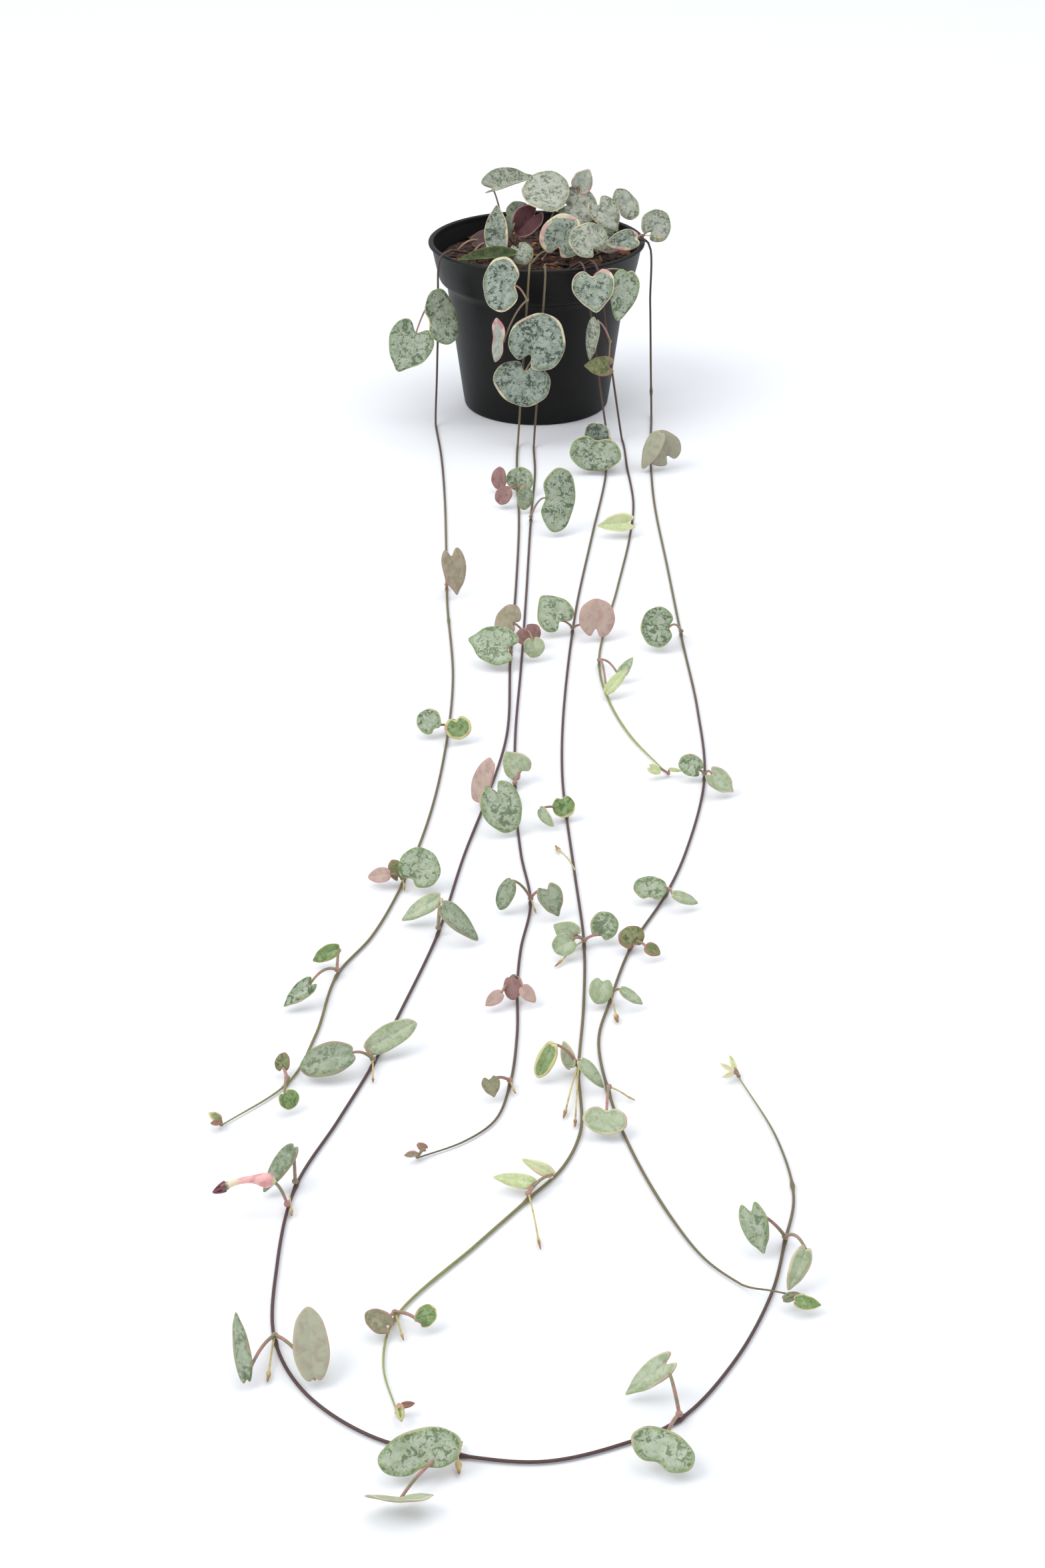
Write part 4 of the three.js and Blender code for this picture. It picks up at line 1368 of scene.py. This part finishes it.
# Each stem's swellings: the place along the stem, counted in points, and the leaves
PAIRS: dict[str, list[tuple[float, list[Leaf]]]] = {
    "left": [
        (HANG - 0.3, [
            Leaf((1, -5, -8), (80, 12, 30), (17, 26), MOTTLED, BEAN),
            Leaf((-13, -5, -21), (205, 15, -12), (23, 21), MOTTLED, HEART)]),
        (FLOOR + 2.8, [
            Leaf((3, -6, 0), (182, 20, 35), (18, 11), KHAKI, HEART, flip=True)]),
        (FLOOR + 4.8, [
            Leaf((-6.5, -3, 0), (-45, 35, -20), (9.5, 9), MOTTLED, BEAN),
            Leaf((3.5, -7, 0), (170, 40, 10), (8.5, 10), GREEN, BEAN, fold=0.3)]),
        (FLOOR + 7, [
            Leaf((5.5, -2, 0), (35, 35, 0), (12.5, 13.5), LIME, BEAN),
            Leaf((-7, -1, 0), (-110, 40, -30), (8, 5), PINK, LANCE, flip=True),
            Leaf((-2, 1, 2), (-20, 35, 0), (7, 5), OLIVE, ROUND)]),
        (FLOOR + 9, [
            Leaf((-3, 5, 2), (-125, 32, -20), (9.5, 5), GREEN, LANCE, fold=0.4),
            Leaf((-9, -16, 0), (-140, 50, -15), (11, 5.5), MOTTLED, HEART)]),
        (FLOOR + 11, [
            Leaf((-1.5, 5, 0), (-10, 40, -20), (5.5, 4.5), OLIVE, ROUND),
            Leaf((1.5, -12, 0), (165, 45, 30), (5.5, 6), GREEN, BEAN)]),
    ],
    "long": [
        (HANG - 0.5, [
            Leaf((-11, -4, 8), (-90, 15, -20), (18, 24), FROSTED, BEAN),
            Leaf((-12.5, -4, -17.5), (-90, 5, -60), (12, 20), BLUSHED, BEAN)]),
        (FLOOR + 0.5, [
            Leaf((-8, 5, 0), (-12, 25, -20), (10, 7), ROSE, OVAL, flip=True),
            Leaf((1, 2, 0), (25, 30, 0), (11, 12), MOTTLED, ROUND),
            Leaf((-6, -13, 0), (-150, 30, -20), (8.5, 7.5), ROSE, OVAL, flip=True),
            Leaf((3, -18, 0), (190, 25, 10), (10, 7), SAGE, OVAL)]),
        (FLOOR + 2.95, [
            Leaf((-5.5, -6, 0), (-80, 42, -10), (18, 15), LIME, HEART)]),
        (FLOOR + 5.2, [
            Leaf((0, 1, 2), (192, 20, -55), (17, 9.5), PINK, OVAL, flip=True),
            Leaf((6, -16, 2), (165, 30, 10), (17.5, 13.5), LIME, ROUND)]),
        (FLOOR + 7, [
            Leaf((-4.5, 6, 5), (-138, 48, -30), (14, 6), PALE, LANCE),
            Leaf((6, -4, 3), (148, 42, 25), (15.5, 6.5), SAGE, LANCE)]),
        (FLOOR + 9, [
            Leaf((4.5, 6, 4), (66, 40, 10), (17, 7), PALE, OVAL),
            Leaf((-12, -5, 2), (-112, 48, -10), (16, 9.5), SAGE, OVAL)]),
        (FLOOR + 11, [
            Leaf((-3.5, 0, 2), (-158, 45, -20), (14, 5), SAGE, LANCE)]),
        (FLOOR + 13, [
            Leaf((-6.5, -10, 1), (-12, 50, 0), (16, 4), SAGE, LANCE),
            Leaf((9.5, -9, 0), (-8, 50, 0), (17.5, 8.5), PALE, OVAL, flip=True)]),
        (FLOOR + 16, [
            Leaf((-8, -4.5, 0), (-14, 42, 0), (10, 19), LIME, BEAN),
            Leaf((-12, -17, 0), (180, 130, 0), (7, 15), PALE, OVAL)]),
        (FLOOR + 19, [
            Leaf((-5.5, 8, 0), (-150, 45, -40), (14, 6), PALE, HEART),
            Leaf((-4.5, -14, 0), (25, 55, 0), (9, 15), LIME, BEAN)]),
        (FLOOR + 22, [
            Leaf((-8, -2, 0), (155, 30, -15), (12.5, 7), LIME, HEART),
            Leaf((1.5, -16, 5), (-150, 35, 10), (11, 5), PALE, LANCE)]),
    ],
    "centre": [
        (HANG + 0.3, [
            Leaf((-1, -6, 7), (30, 15, 0), (25, 25.5), FROSTED, ROUND),
            Leaf((-8, -6, -12.5), (192, 18, -5), (20, 26), FROSTED, ROUND)]),
        (FLOOR + 1, [
            Leaf((11, -11, 3), (98, 15, 10), (15, 27), MOTTLED, BEAN)]),
        (FLOOR + 2.6, [
            Leaf((-6, 1, 1), (-60, 35, 0), (9, 13), KHAKI, ROUND, flip=True),
            Leaf((2, -9, 0), (150, 35, 0), (8, 10), ROSE, ROUND, flip=True),
            Leaf((4, -19, 0), (170, 35, 0), (8, 8), PALE, ROUND)]),
        (FLOOR + 4.9, [
            Leaf((0.5, 5, 0), (-40, 35, 0), (10, 9.5), PALE, HEART)]),
        (FLOOR + 7, [
            Leaf((-7.5, -4, 0), (-170, 30, -30), (10.5, 6), SAGE, OVAL),
            Leaf((6, -7, 0), (165, 35, 20), (10, 8), SAGE, HEART)]),
        (FLOOR + 9, [
            Leaf((-6.5, -12, 0), (-130, 50, 0), (6, 4), PINK, LANCE, flip=True),
            Leaf((-1.5, -8, 0), (170, 45, 0), (7, 5), ROSE, OVAL, flip=True),
            Leaf((3, -10, 0), (140, 45, 0), (6, 4), PINK, LANCE, flip=True)]),
        (FLOOR + 11, [
            Leaf((-5, -5, 0), (165, 45, 0), (5.5, 5), KHAKI, HEART)]),
    ],
    "short": [
        (LIP + 0.1, [
            Leaf((-2, -8, -5), (172, 20, -10), (18, 19), CREAM, HEART),
            Leaf((11, -6, -8), (195, 10, 25), (22, 14), MOTTLED, LANCE)]),
        (HANG + 0.2, [
            Leaf((-7, -9, 4), (190, 5, -55), (20, 9), SILVER, LANCE),
            Leaf((-3, -9, -9), (-90, 20, 0), (13, 9), OLIVE, HEART)]),
        (FLOOR + 1.6, [
            Leaf((-6, -12, 0), (-95, 40, 0), (15, 8.5), YELLOW, HEART, fold=0.4)]),
        (FLOOR + 4.1, [
            Leaf((9, -13, 0), (35, 35, 0), (9, 4), PALE, LANCE),
            Leaf((5, -25, 0), (40, 45, 0), (12, 4.5), YELLOW, LANCE)]),
    ],
    "middle": [
        (FLOOR - 0.4, [
            Leaf((-3, -8, 5), (-120, 20, -5), (14, 21), FROSTED, BEAN),
            Leaf((-6, -14, 0), (185, 25, -5), (16, 23), MOTTLED, BEAN)]),
        (FLOOR + 2.2, [
            Leaf((-7, 0, 0), (-40, 30, -5), (14, 14), LIME, HEART),
            Leaf((9, -4, 0), (10, 30, 10), (15, 14), PINK, ROUND, flip=True)]),
        (FLOOR + 5, [
            Leaf((-1, -1, 0), (165, 35, 0), (7.5, 7.5), GREEN, BEAN),
            Leaf((-7, -6, 0), (120, 25, -40), (8, 4), PALE, LANCE)]),
        (FLOOR + 7, [
            Leaf((6, 3, 2), (20, 35, 0), (9, 8.5), LIME, BEAN),
            Leaf((-5, 0, 1), (-60, 35, 0), (8, 7), PALE, HEART),
            Leaf((-6, -6, 0), (-120, 40, 0), (7.5, 7), PALE, BEAN)]),
        (FLOOR + 9, [
            Leaf((-9, -3, 1), (-165, 35, -20), (11, 5.5), GREEN, OVAL),
            Leaf((-3, 1, 1), (-30, 40, -20), (8, 4), PALE, LANCE),
            Leaf((3, -8, 0), (150, 40, 20), (10, 4), PALE, LANCE)]),
        (FLOOR + 12, [
            Leaf((3, 8, 1), (-50, 50, 20), (9, 3.5), YELLOW, LANCE),
            Leaf((-3, 4, 1), (-80, 60, 0), (11, 4), YELLOW, LANCE)]),
        (FLOOR + 14, [
            Leaf((-3.5, -5, 0), (-60, 50, 0), (7.5, 5.5), KHAKI, ROUND),
            Leaf((7.5, -3, 0), (40, 50, 0), (6, 5), GREEN, BEAN)]),
    ],
    "right": [
        (LIP - 0.7, [
            Leaf((6, 2, 6), (50, 20, 20), (15, 15), SILVER, ROUND),
            Leaf((-9, -6, 1), (-100, 35, 0), (15, 10), CREAM, LANCE)]),
        (FLOOR + 0.1, [
            Leaf((4.5, -8, 2), (-30, 15, 10), (16, 16), SAGE, ROUND, flip=True),
            Leaf((0, -12, 0), (195, 25, -40), (18, 9), PALE, LANCE, flip=True)]),
        (FLOOR + 2.9, [
            Leaf((-9.5, -10, 0), (-95, 30, -15), (13, 15.5), MOTTLED, BEAN)]),
        (FLOOR + 5, [
            Leaf((-4.5, 1, 1), (-60, 35, 0), (9, 7.5), LIME, BEAN),
            Leaf((4, -10, 0), (140, 45, 20), (10.5, 8), PALE, HEART)]),
        (FLOOR + 7, [
            Leaf((-5, -3, 1), (5, 45, 0), (8, 10.5), LIME, BEAN),
            Leaf((5, -8, 0), (125, 45, 30), (9, 4), PALE, LANCE)]),
        (FLOOR + 8, [
            Leaf((0, -1, 1), (-20, 40, 0), (7, 8), OLIVE, BEAN),
            Leaf((6, -6, 0), (120, 45, 0), (5, 4), OLIVE, LANCE)]),
        (FLOOR + 9, [
            Leaf((-3, -2, 0), (-170, 40, 0), (8, 7), PALE, BEAN),
            Leaf((5.5, -4, 0), (140, 45, 30), (8, 3.5), PALE, LANCE)]),
        (FLOOR + 11, [
            Leaf((-1.5, -18, 0), (188, 55, 0), (8, 12), PALE, BEAN)]),
    ],
}

# Shoots of the crown: where each rises from the soil, and its leaves
SHOOTS: list[tuple[tuple[float, float], list[Leaf]]] = [
    ((-14, 10), [
        Leaf((-0.5, -2, 30), (62, 58, -10), (24, 15), SILVER, HEART, fold=0.7),
        Leaf((-4, -14, 11), (-12, 25, -20), (22, 12), CREAM, HEART, fold=0.3)]),
    ((2, 10), [
        Leaf((2, -9, 28), (-60, 52, 10), (22, 23), SILVER, OVAL),
        Leaf((-6, -8, 14), (-140, 30, -10), (16, 15), CREAM, ROUND, fold=0.5, flip=True)]),
    ((15, 2), [
        Leaf((4, 1, 21), (105, 45, 10), (19, 20), SILVER, ROUND),
        Leaf((6, 7, 31), (40, 25, 20), (12, 10), BLUSHED, HEART)]),
    ((27, 6), [
        Leaf((4, -8, 20), (155, 40, 20), (17, 15), SILVER, HEART),
        Leaf((14, 3, 21), (70, 35, 30), (13, 16), SILVER, BEAN)]),
    ((25, -14), [
        Leaf((-2, -8, 13), (-30, 40, 5), (17, 18), SILVER, ROUND)]),
    ((3, -9), [
        Leaf((9, -5, 12), (15, 22, -15), (20, 21), CREAM, ROUND, cup=0.26)]),
    ((-20, 18), [
        # This leaf takes the purple look that is darkened as painted shade
        Leaf((-3, -6, 3), (-70, 65, -10), (16, 15), PLUM, ROUND, flip=True)]),
    ((-12, -18), [
        Leaf((-9, -12, RIM_LEAF_LIFT), (-95, 60, 0), (26, 8), DEEP, LANCE, fold=0.5),
        Leaf((5, -9, RIM_LEAF_LIFT), (160, 40, 10), (11, 11), SILVER, ROUND)]),
]

# Small shoots of the crown: where each rises from the soil, and its leaves
YOUNG_SHOOTS: list[tuple[tuple[float, float], list[Leaf]]] = [
    ((-10, 12), [
        Leaf((2, -4, 17), (-30, 40, 0), (14, 12), MOTTLED, ROUND),
        Leaf((-4, -10, 12), (20, 20, -30), (15, 8), SAGE, HEART)]),
    ((20, 8), [
        Leaf((-3, -2, 14), (150, 30, 0), (13, 11), BLUSHED, ROUND, flip=True),
        Leaf((10, -4, 12), (95, 40, 20), (14, 10), MOTTLED, HEART)]),
    ((33, -4), [
        Leaf((1, -3, 8), (80, 40, 20), (13, 10), CREAM, ROUND)]),
]

# The age mark of each stem, by its share of the length
HUES: dict[str, tuple[tuple[float, float], ...]] = {
    "left": ((0, 0.1), (0.25, 0.2), (0.4, 0.55), (0.7, 0.35), (1, 0.8)),
    "long": ((0, 0.5), (0.2, 0.35), (0.35, 0.05), (0.88, 0), (0.94, 0.4), (1, 0.9)),
    "centre": ((0, 0.35), (0.3, 0.25), (0.6, 0.05), (0.85, 0.05), (1, 0.45)),
    "middle": ((0, 0.1), (0.3, 0.35), (0.45, 0.1), (0.7, 0.15), (0.8, 0.55), (1, 0.9)),
    "short": ((0, 0.1), (0.5, 0.2), (0.7, 0.6), (1, 1)),
    "right": ((0, 0.15), (0.25, 0.3), (0.35, 0.6), (0.5, 0.35), (0.65, 0), (0.8, 0.4), (1, 0.55)),
}

# Joints without leaves, by their share of the stem's length
BARE_KNOTS: dict[str, tuple[float, ...]] = {"right": (0.13, 0.86), "long": (0.95,), "left": (0.5,)}


@dataclass
class Stem:
    """One trailing stem, swollen where its leaves spring, with its leaves.

    rim_step and trail_step are between two rings of its tube. swell, slender and the tapers are
    shares of the stem's radius, and tip_start is a share of its length.
    """

    name: str
    line: StemLine
    pairs: list[tuple[float, list[Leaf]]]
    finishes: Finishes
    sides: int = 9
    rim_step: float = 1.2
    trail_step: float = 2.2
    swell: float = 0.5
    swell_reach: float = 1.3
    slender: float = 0.84
    taper: float = 0.16
    tip_taper: float = 0.35
    tip_start: float = 0.93

    def build(self) -> None:
        """Makes the stem and its leaves."""
        last = len(self.line.points) - 1
        nudge = 0.02
        places = [0.0]
        while places[-1] < last:
            here = places[-1]
            ahead = self.line.at(min(here + nudge, last))
            pace = float(np.linalg.norm(ahead - self.line.at(here))) / nudge
            step = self.rim_step if here < HANG + 1 else self.trail_step
            places.append(min(here + step / max(pace, 1.0), last))
        path = np.array([self.line.at(place) for place in places])
        reach = np.concatenate([[0.0], np.cumsum(np.linalg.norm(np.diff(path, axis=0), axis=1))])
        share = reach / reach[-1]
        near_tip = np.clip((share - self.tip_start) / (1 - self.tip_start), 0, 1)
        radii = STEM_RADIUS * (self.slender - self.taper * share - self.tip_taper * near_tip)
        spots = [np.interp(place, places, reach) for place, _ in self.pairs]
        spots += [share_along * reach[-1] for share_along in BARE_KNOTS.get(self.name, ())]
        for spot in spots:
            radii = radii + self.swell * STEM_RADIUS * np.exp(-(((reach - spot) / self.swell_reach) ** 2))
        form = Form()
        points, faces, along = tube(path, radii, self.sides)
        points[:, 2] = np.maximum(points[:, 2], STEM_LOWEST)
        age = np.interp(along, *zip(*HUES[self.name]))
        form.add(points, faces, age=age)
        form.build(f"vine_{self.name}", [self.finishes.stem], [f"stem_{self.name}"], "stem", 80.0)
        foliage = Foliage(self.finishes)
        for i, (place, leaves) in enumerate(self.pairs):
            node = f"leaves_{self.name}_{i + 1}"
            foliage.group(f"{self.name}_leaf_group_{i + 1}", node, self.line.bead(place),
                          self.line.at(place), leaves)


@dataclass
class Crown:
    """Short shoots that rise from the soil."""

    finishes: Finishes

    def build(self) -> None:
        """Makes each shoot."""
        foliage = Foliage(self.finishes)
        for i, ((x, y), leaves) in enumerate(SHOOTS):
            start = np.array((x, y, soil_height(x, y) + GAP + BEAD_RADIUS))
            foliage.group(f"crown_group_{i + 1}", f"crown_leaves_{i + 1}", start, start, leaves)
        for i, ((x, y), leaves) in enumerate(YOUNG_SHOOTS):
            start = np.array((x, y, soil_height(x, y) + 0.5 * BEAD_RADIUS))
            foliage.group(f"young_shoot_{i + 1}", None, start, start, leaves, 0.8)


# The tiny leaves at each stem's growing end, by their offset from that end
TIPS: dict[str, list[Leaf]] = {
    "left": [
        Leaf((-1.5, 0.5, 0), (-60, 50, 0), (4, 2.4), GREEN, LANCE),
        Leaf((-1, -1.5, 0), (-100, 50, 0), (3, 1.8), OLIVE, LANCE)],
    "long": [
        Leaf((-1.5, 3, 0.5), (-20, 50, 0), (4, 1.6), YELLOW, LANCE),
        Leaf((-3, 1, 0.3), (-60, 50, 0), (4.5, 1.5), YELLOW, LANCE),
        Leaf((-3, -2, 0), (-110, 50, 0), (3.5, 1.4), YELLOW, LANCE)],
    "centre": [
        Leaf((-1.6, -1.2, 0), (-100, 50, 0), (3.4, 1.8), KHAKI, LANCE),
        Leaf((1.2, 1.6, 0.4), (-60, 50, 0), (3.2, 2.2), OLIVE, ROUND)],
    "short": [
        Leaf((2, -0.5, 0), (100, 50, 0), (4.2, 1.6), YELLOW, LANCE),
        Leaf((-5, -1.5, 0), (120, 50, 0), (5, 3.6), YELLOW, ROUND)],
    "middle": [
        Leaf((0.8, -2.6, 0), (170, 50, 0), (4, 2.2), GREEN, LANCE),
        Leaf((2.2, 0.6, 0.4), (80, 50, 0), (3.4, 1.6), OLIVE, LANCE)],
    "right": [
        Leaf((0.5, -2.5, 0), (100, 50, 0), (6.5, 3.6), GREEN, LANCE),
        Leaf((-3, -0.5, 0.5), (70, 50, 0), (4.5, 2.4), SAGE, LANCE)],
}


@dataclass(frozen=True)
class Bud:
    """A dried bud: its stem, its place there, its tip counted from it, its length and its radius."""

    stem: str
    place: float
    tip: Point
    length: float
    radius: float = 0.55


BUDS = [
    Bud("long", FLOOR + 13, (-0.5, -14, 0.2), 3.6), Bud("long", FLOOR + 16, (0.5, -6, 0.2), 3.4, 0.8),
    Bud("long", FLOOR + 16, (1.0, 4, 0.2), 3.0), Bud("long", FLOOR + 11.2, (1.0, -6, 0.2), 2.6),
    Bud("long", FLOOR + 9, (0.5, -9, 0.2), 2.0, 0.4), Bud("middle", FLOOR + 7, (-9, -12, 0.2), 4.2, 0.5),
    Bud("middle", FLOOR + 6, (-6, 18, 0.2), 4.5, 0.7), Bud("middle", FLOOR + 9, (-4.5, -22, 0.2), 4.0),
    Bud("middle", FLOOR + 9, (-1.5, -26, 0.2), 3.4, 0.5), Bud("middle", FLOOR + 12, (3, -20, 0.2), 4.6, 0.45),
    Bud("middle", FLOOR + 14, (2.4, -8, 0.2), 2.4, 0.4), Bud("right", FLOOR + 9, (1.6, -12, 0.2), 3.6, 0.8),
    Bud("right", FLOOR + 11, (7, -4, 0.2), 2.4, 0.35), Bud("left", FLOOR + 7, (0.8, -5, 0.2), 2.2, 0.45),
    Bud("centre", FLOOR + 7, (1.6, -6, 0.2), 2.2, 0.4), Bud("centre", FLOOR + 11, (1.6, -4, 0.2), 2.0, 0.4),
    Bud("right", LIP - 0.7, (9, -2, 1), 3.0, 0.5),
]

# Each bare runner: where it leaves the soil, where it goes back in, and twice its arch's height
RUNNERS = [
    ((-37, 10), (-22, 14), 9.0), ((-30, 2), (-20, 16), 7.0), ((-12, -2), (-2, 14), 8.0),
    ((6, 4), (20, 12), 9.0), ((30, -8), (24, 8), 7.0), ((-2, -12), (8, 2), 6.0),
]


@dataclass
class Details:
    """Small growth: the stems' growing ends, dried buds and bare runners."""

    finishes: Finishes
    runner_radius: float = 0.55

    def tips(self) -> None:
        """Makes the tiny leaves at the stems' ends."""
        foliage = Foliage(self.finishes)
        for name, leaves in TIPS.items():
            line = STEMS[name]
            end = line.at(len(line.points) - 1)
            start = end + np.array((0.0, 0.0, 0.3))
            foliage.group(f"growing_end_{name}", None, start, end, leaves, 0.7)

    def buds(self) -> None:
        """Makes the dried buds on their thin stalks, one piece per stem."""
        forms: dict[str, Form] = {}
        for bud in BUDS:
            form = forms.setdefault(bud.stem, Form())
            line = STEMS[bud.stem]
            start = line.bead(bud.place)
            tip = line.at(bud.place) + np.array(bud.tip)
            tip[2] = max(tip[2], bud.radius + 0.2) if line.at(bud.place)[2] < 5 else tip[2]
            way = (tip - start) / np.linalg.norm(tip - start)
            heel = tip - way * bud.length
            bend = (start + heel) / 2 + np.array((0.0, 0.0, 0.12 * np.linalg.norm(heel - start)))
            stalk = bezier(start, bend, heel, 8)
            body = heel + np.outer(np.linspace(0, 1, 8), way * bud.length)
            shape = np.array((0.45, 0.8, 1.0, 0.95, 0.7, 0.55, 0.5, 0.2)) * bud.radius
            path = np.concatenate([stalk, body[1:]])
            radii = np.concatenate([np.full(9, 0.24), shape[1:]])
            points, faces, along = tube(path, radii, 7)
            points[:, 2] = np.maximum(points[:, 2], BUD_LOWEST)
            form.add(points, faces, along=along)
        for name, form in forms.items():
            form.build(f"dried_buds_{name}", [self.finishes.bud], [], "flower", 80.0)

    def runners(self) -> None:
        """Makes the old bare runners that cross the soil."""
        form = Form()
        for (x0, y0), (x1, y1), rise in RUNNERS:
            start = np.array((x0, y0, soil_height(x0, y0) + 0.2))
            end = np.array((x1, y1, soil_height(x1, y1) + 0.2))
            bend = (start + end) / 2 + np.array((0.0, 0.0, rise))
            points, faces, _ = tube(bezier(start, bend, end, 14), np.full(15, self.runner_radius), 8)
            form.add(points, faces)
        form.build("bare_runners", [self.finishes.stalk], [], "stem", 80.0)


@dataclass
class Flower:
    """The lantern flower: a round foot, a slim tube and a closed cage of lobes.

    place is where it springs along the long stem, rise is from its swelling to its foot, way is
    where it points, and arch is how far its middle is bent up. cage is the share of its length
    where the lobes start, and spread how far they stand off its middle line there.
    """

    finishes: Finishes
    place: float = FLOOR + 11.3
    rise: Point = (-2.5, 0.0, 7.0)
    way: Point = (-0.96, -0.1, -0.12)
    length: float = 16.0
    arch: float = 2.2
    lobes: int = 5
    cage: float = 0.8
    spread: float = 1.05
    stalk_radius: float = 0.42

    def middle_line(self, foot: np.ndarray, way: np.ndarray, shares: np.ndarray) -> np.ndarray:
        """Finds points of the arched line through the flower.

        Args:
            foot: where the line starts.
            way: where the flower points, of length 1.
            shares: the points' places, as shares of the length.

        Returns:
            The points.
        """
        lift = np.outer(np.sin(shares * math.pi), (0.0, 0.0, self.arch))
        return foot + np.outer(shares * self.length, way) + lift

    def lobe(self, foot: np.ndarray, way: np.ndarray,
             out: np.ndarray) -> tuple[np.ndarray, list[Sequence[int]]]:
        """Makes one lobe of the cage, which meets the others at the flower's tip.

        Args:
            foot: where the flower's line starts.
            way: where the flower points, of length 1.
            out: the side on which the lobe stands, of length 1.

        Returns:
            The points and the faces.
        """
        steps = np.linspace(0, 1, 8)
        path = self.middle_line(foot, way, self.cage + (1 - self.cage) * steps)
        path += np.outer(self.spread * np.cos(steps * math.pi / 2) ** 0.8, out)
        points, faces, _ = tube(path, np.linspace(0.5, 0.3, 8), 7)
        return points, faces

    def build(self) -> None:
        """Makes the flower with its stalk."""
        start = STEMS["long"].bead(self.place)
        foot = start + np.array(self.rise)
        way = np.array(self.way) / np.linalg.norm(self.way)
        form = Form()
        shares = np.array((0, 0.03, 0.08, 0.15, 0.22, 0.3, 0.38, 0.46, 0.56, 0.66, 0.74, 0.79, 0.83, 0.86))
        radii = np.array((0.3, 1.0, 1.6, 1.95, 1.75, 1.3, 1.0, 0.88, 0.8, 0.8, 0.88, 1.1, 1.2, 1.0))
        points, faces, along = tube(self.middle_line(foot, way, shares), radii, 20)
        form.add(points, faces, along=along * shares[-1])
        side = np.cross(way, (0.0, 0.0, 1.0))
        side /= np.linalg.norm(side)
        other = np.cross(side, way)
        for i in range(self.lobes):
            turn = i / self.lobes * TAU
            points, faces = self.lobe(foot, way, math.cos(turn) * side + math.sin(turn) * other)
            form.add(points, faces, along=np.array(0.95))
        bend = (start + foot) / 2 + np.array((0.0, 0.0, 2.0))
        path = bezier(start, bend, foot + way * 0.4, 10)
        points, faces, _ = tube(path, np.full(len(path), self.stalk_radius), 7)
        form.add(points, faces, 1)
        points, faces = drop(start, (BEAD_RADIUS,) * 3)
        form.add(points, faces, 1)
        form.build("lantern_flower", [self.finishes.flower, self.finishes.stalk], ["flower"], "flower", 60.0)


# The set


@dataclass
class Studio:
    """The floor, the lights and the camera, placed in metres.

    pitch is how far the camera looks down, in degrees, and lens its focal length in millimetres.
    """

    finishes: Finishes
    eye: Point = (-0.0065, -1.085, 0.388)
    pitch: float = 28.8
    lens: float = 54.8

    def floor(self) -> None:
        """Lays the floor."""
        mesh = bpy.data.meshes.new("studio_floor")
        half = 6.0
        corners = [(-half, -half, 0), (half, -half, 0), (half, half, 0), (-half, half, 0)]
        mesh.from_pydata(corners, [], [(0, 1, 2, 3)])
        mesh.materials.append(self.finishes.floor)
        made = bpy.data.objects.new("studio_floor", mesh)
        bpy.context.scene.collection.objects.link(made)

    def lamp(self, name: str, place: Point, aim: Point, size: float, power: float) -> None:
        """Hangs a square soft light.

        Args:
            name: its name.
            place: where it is.
            aim: the point that it faces.
            size: its width, in metres.
            power: its power, in watts.
        """
        light = bpy.data.lights.new(name, "AREA")
        light.size, light.energy = size, power
        made = bpy.data.objects.new(name, light)
        made.location = place
        made.rotation_euler = (Vector(aim) - Vector(place)).to_track_quat("-Z", "Y").to_euler()
        bpy.context.scene.collection.objects.link(made)

    def build(self) -> None:
        """Sets the floor, lights, world and camera."""
        self.floor()
        self.lamp("key_light", (-1.6, -0.9, 2.0), (0, -0.2, 0), 1.6, 26)
        self.lamp("top_light", (0.4, 0.2, 2.4), (0, -0.3, 0), 2.4, 24)
        world = bpy.data.worlds.new("studio_air")
        world.use_nodes = True
        air = world.node_tree.nodes["Background"]
        air.inputs["Color"].default_value = (0.93, 0.96, 1.0, 1.0)
        air.inputs["Strength"].default_value = 0.75
        scene = bpy.context.scene
        scene.world = world
        scene.view_settings.view_transform = "Standard"
        camera = bpy.data.cameras.new("camera")
        camera.lens, camera.sensor_width, camera.clip_start = self.lens, 36.0, 0.01
        made = bpy.data.objects.new("camera", camera)
        made.location = self.eye
        made.rotation_euler = (math.radians(90 - self.pitch), 0, 0)
        scene.collection.objects.link(made)
        scene.camera = made


def main() -> None:
    """Builds the plant and its set."""
    logging.basicConfig(level=logging.INFO, format="%(message)s")
    finishes = Finishes()
    Studio(finishes).build()
    Pot(finishes).build()
    Soil(finishes).build()
    for name, line in STEMS.items():
        Stem(name, line, PAIRS[name], finishes).build()
    Crown(finishes).build()
    details = Details(finishes)
    details.tips()
    details.buds()
    Flower(finishes).build()
    details.runners()


if __name__ == "__main__":
    main()
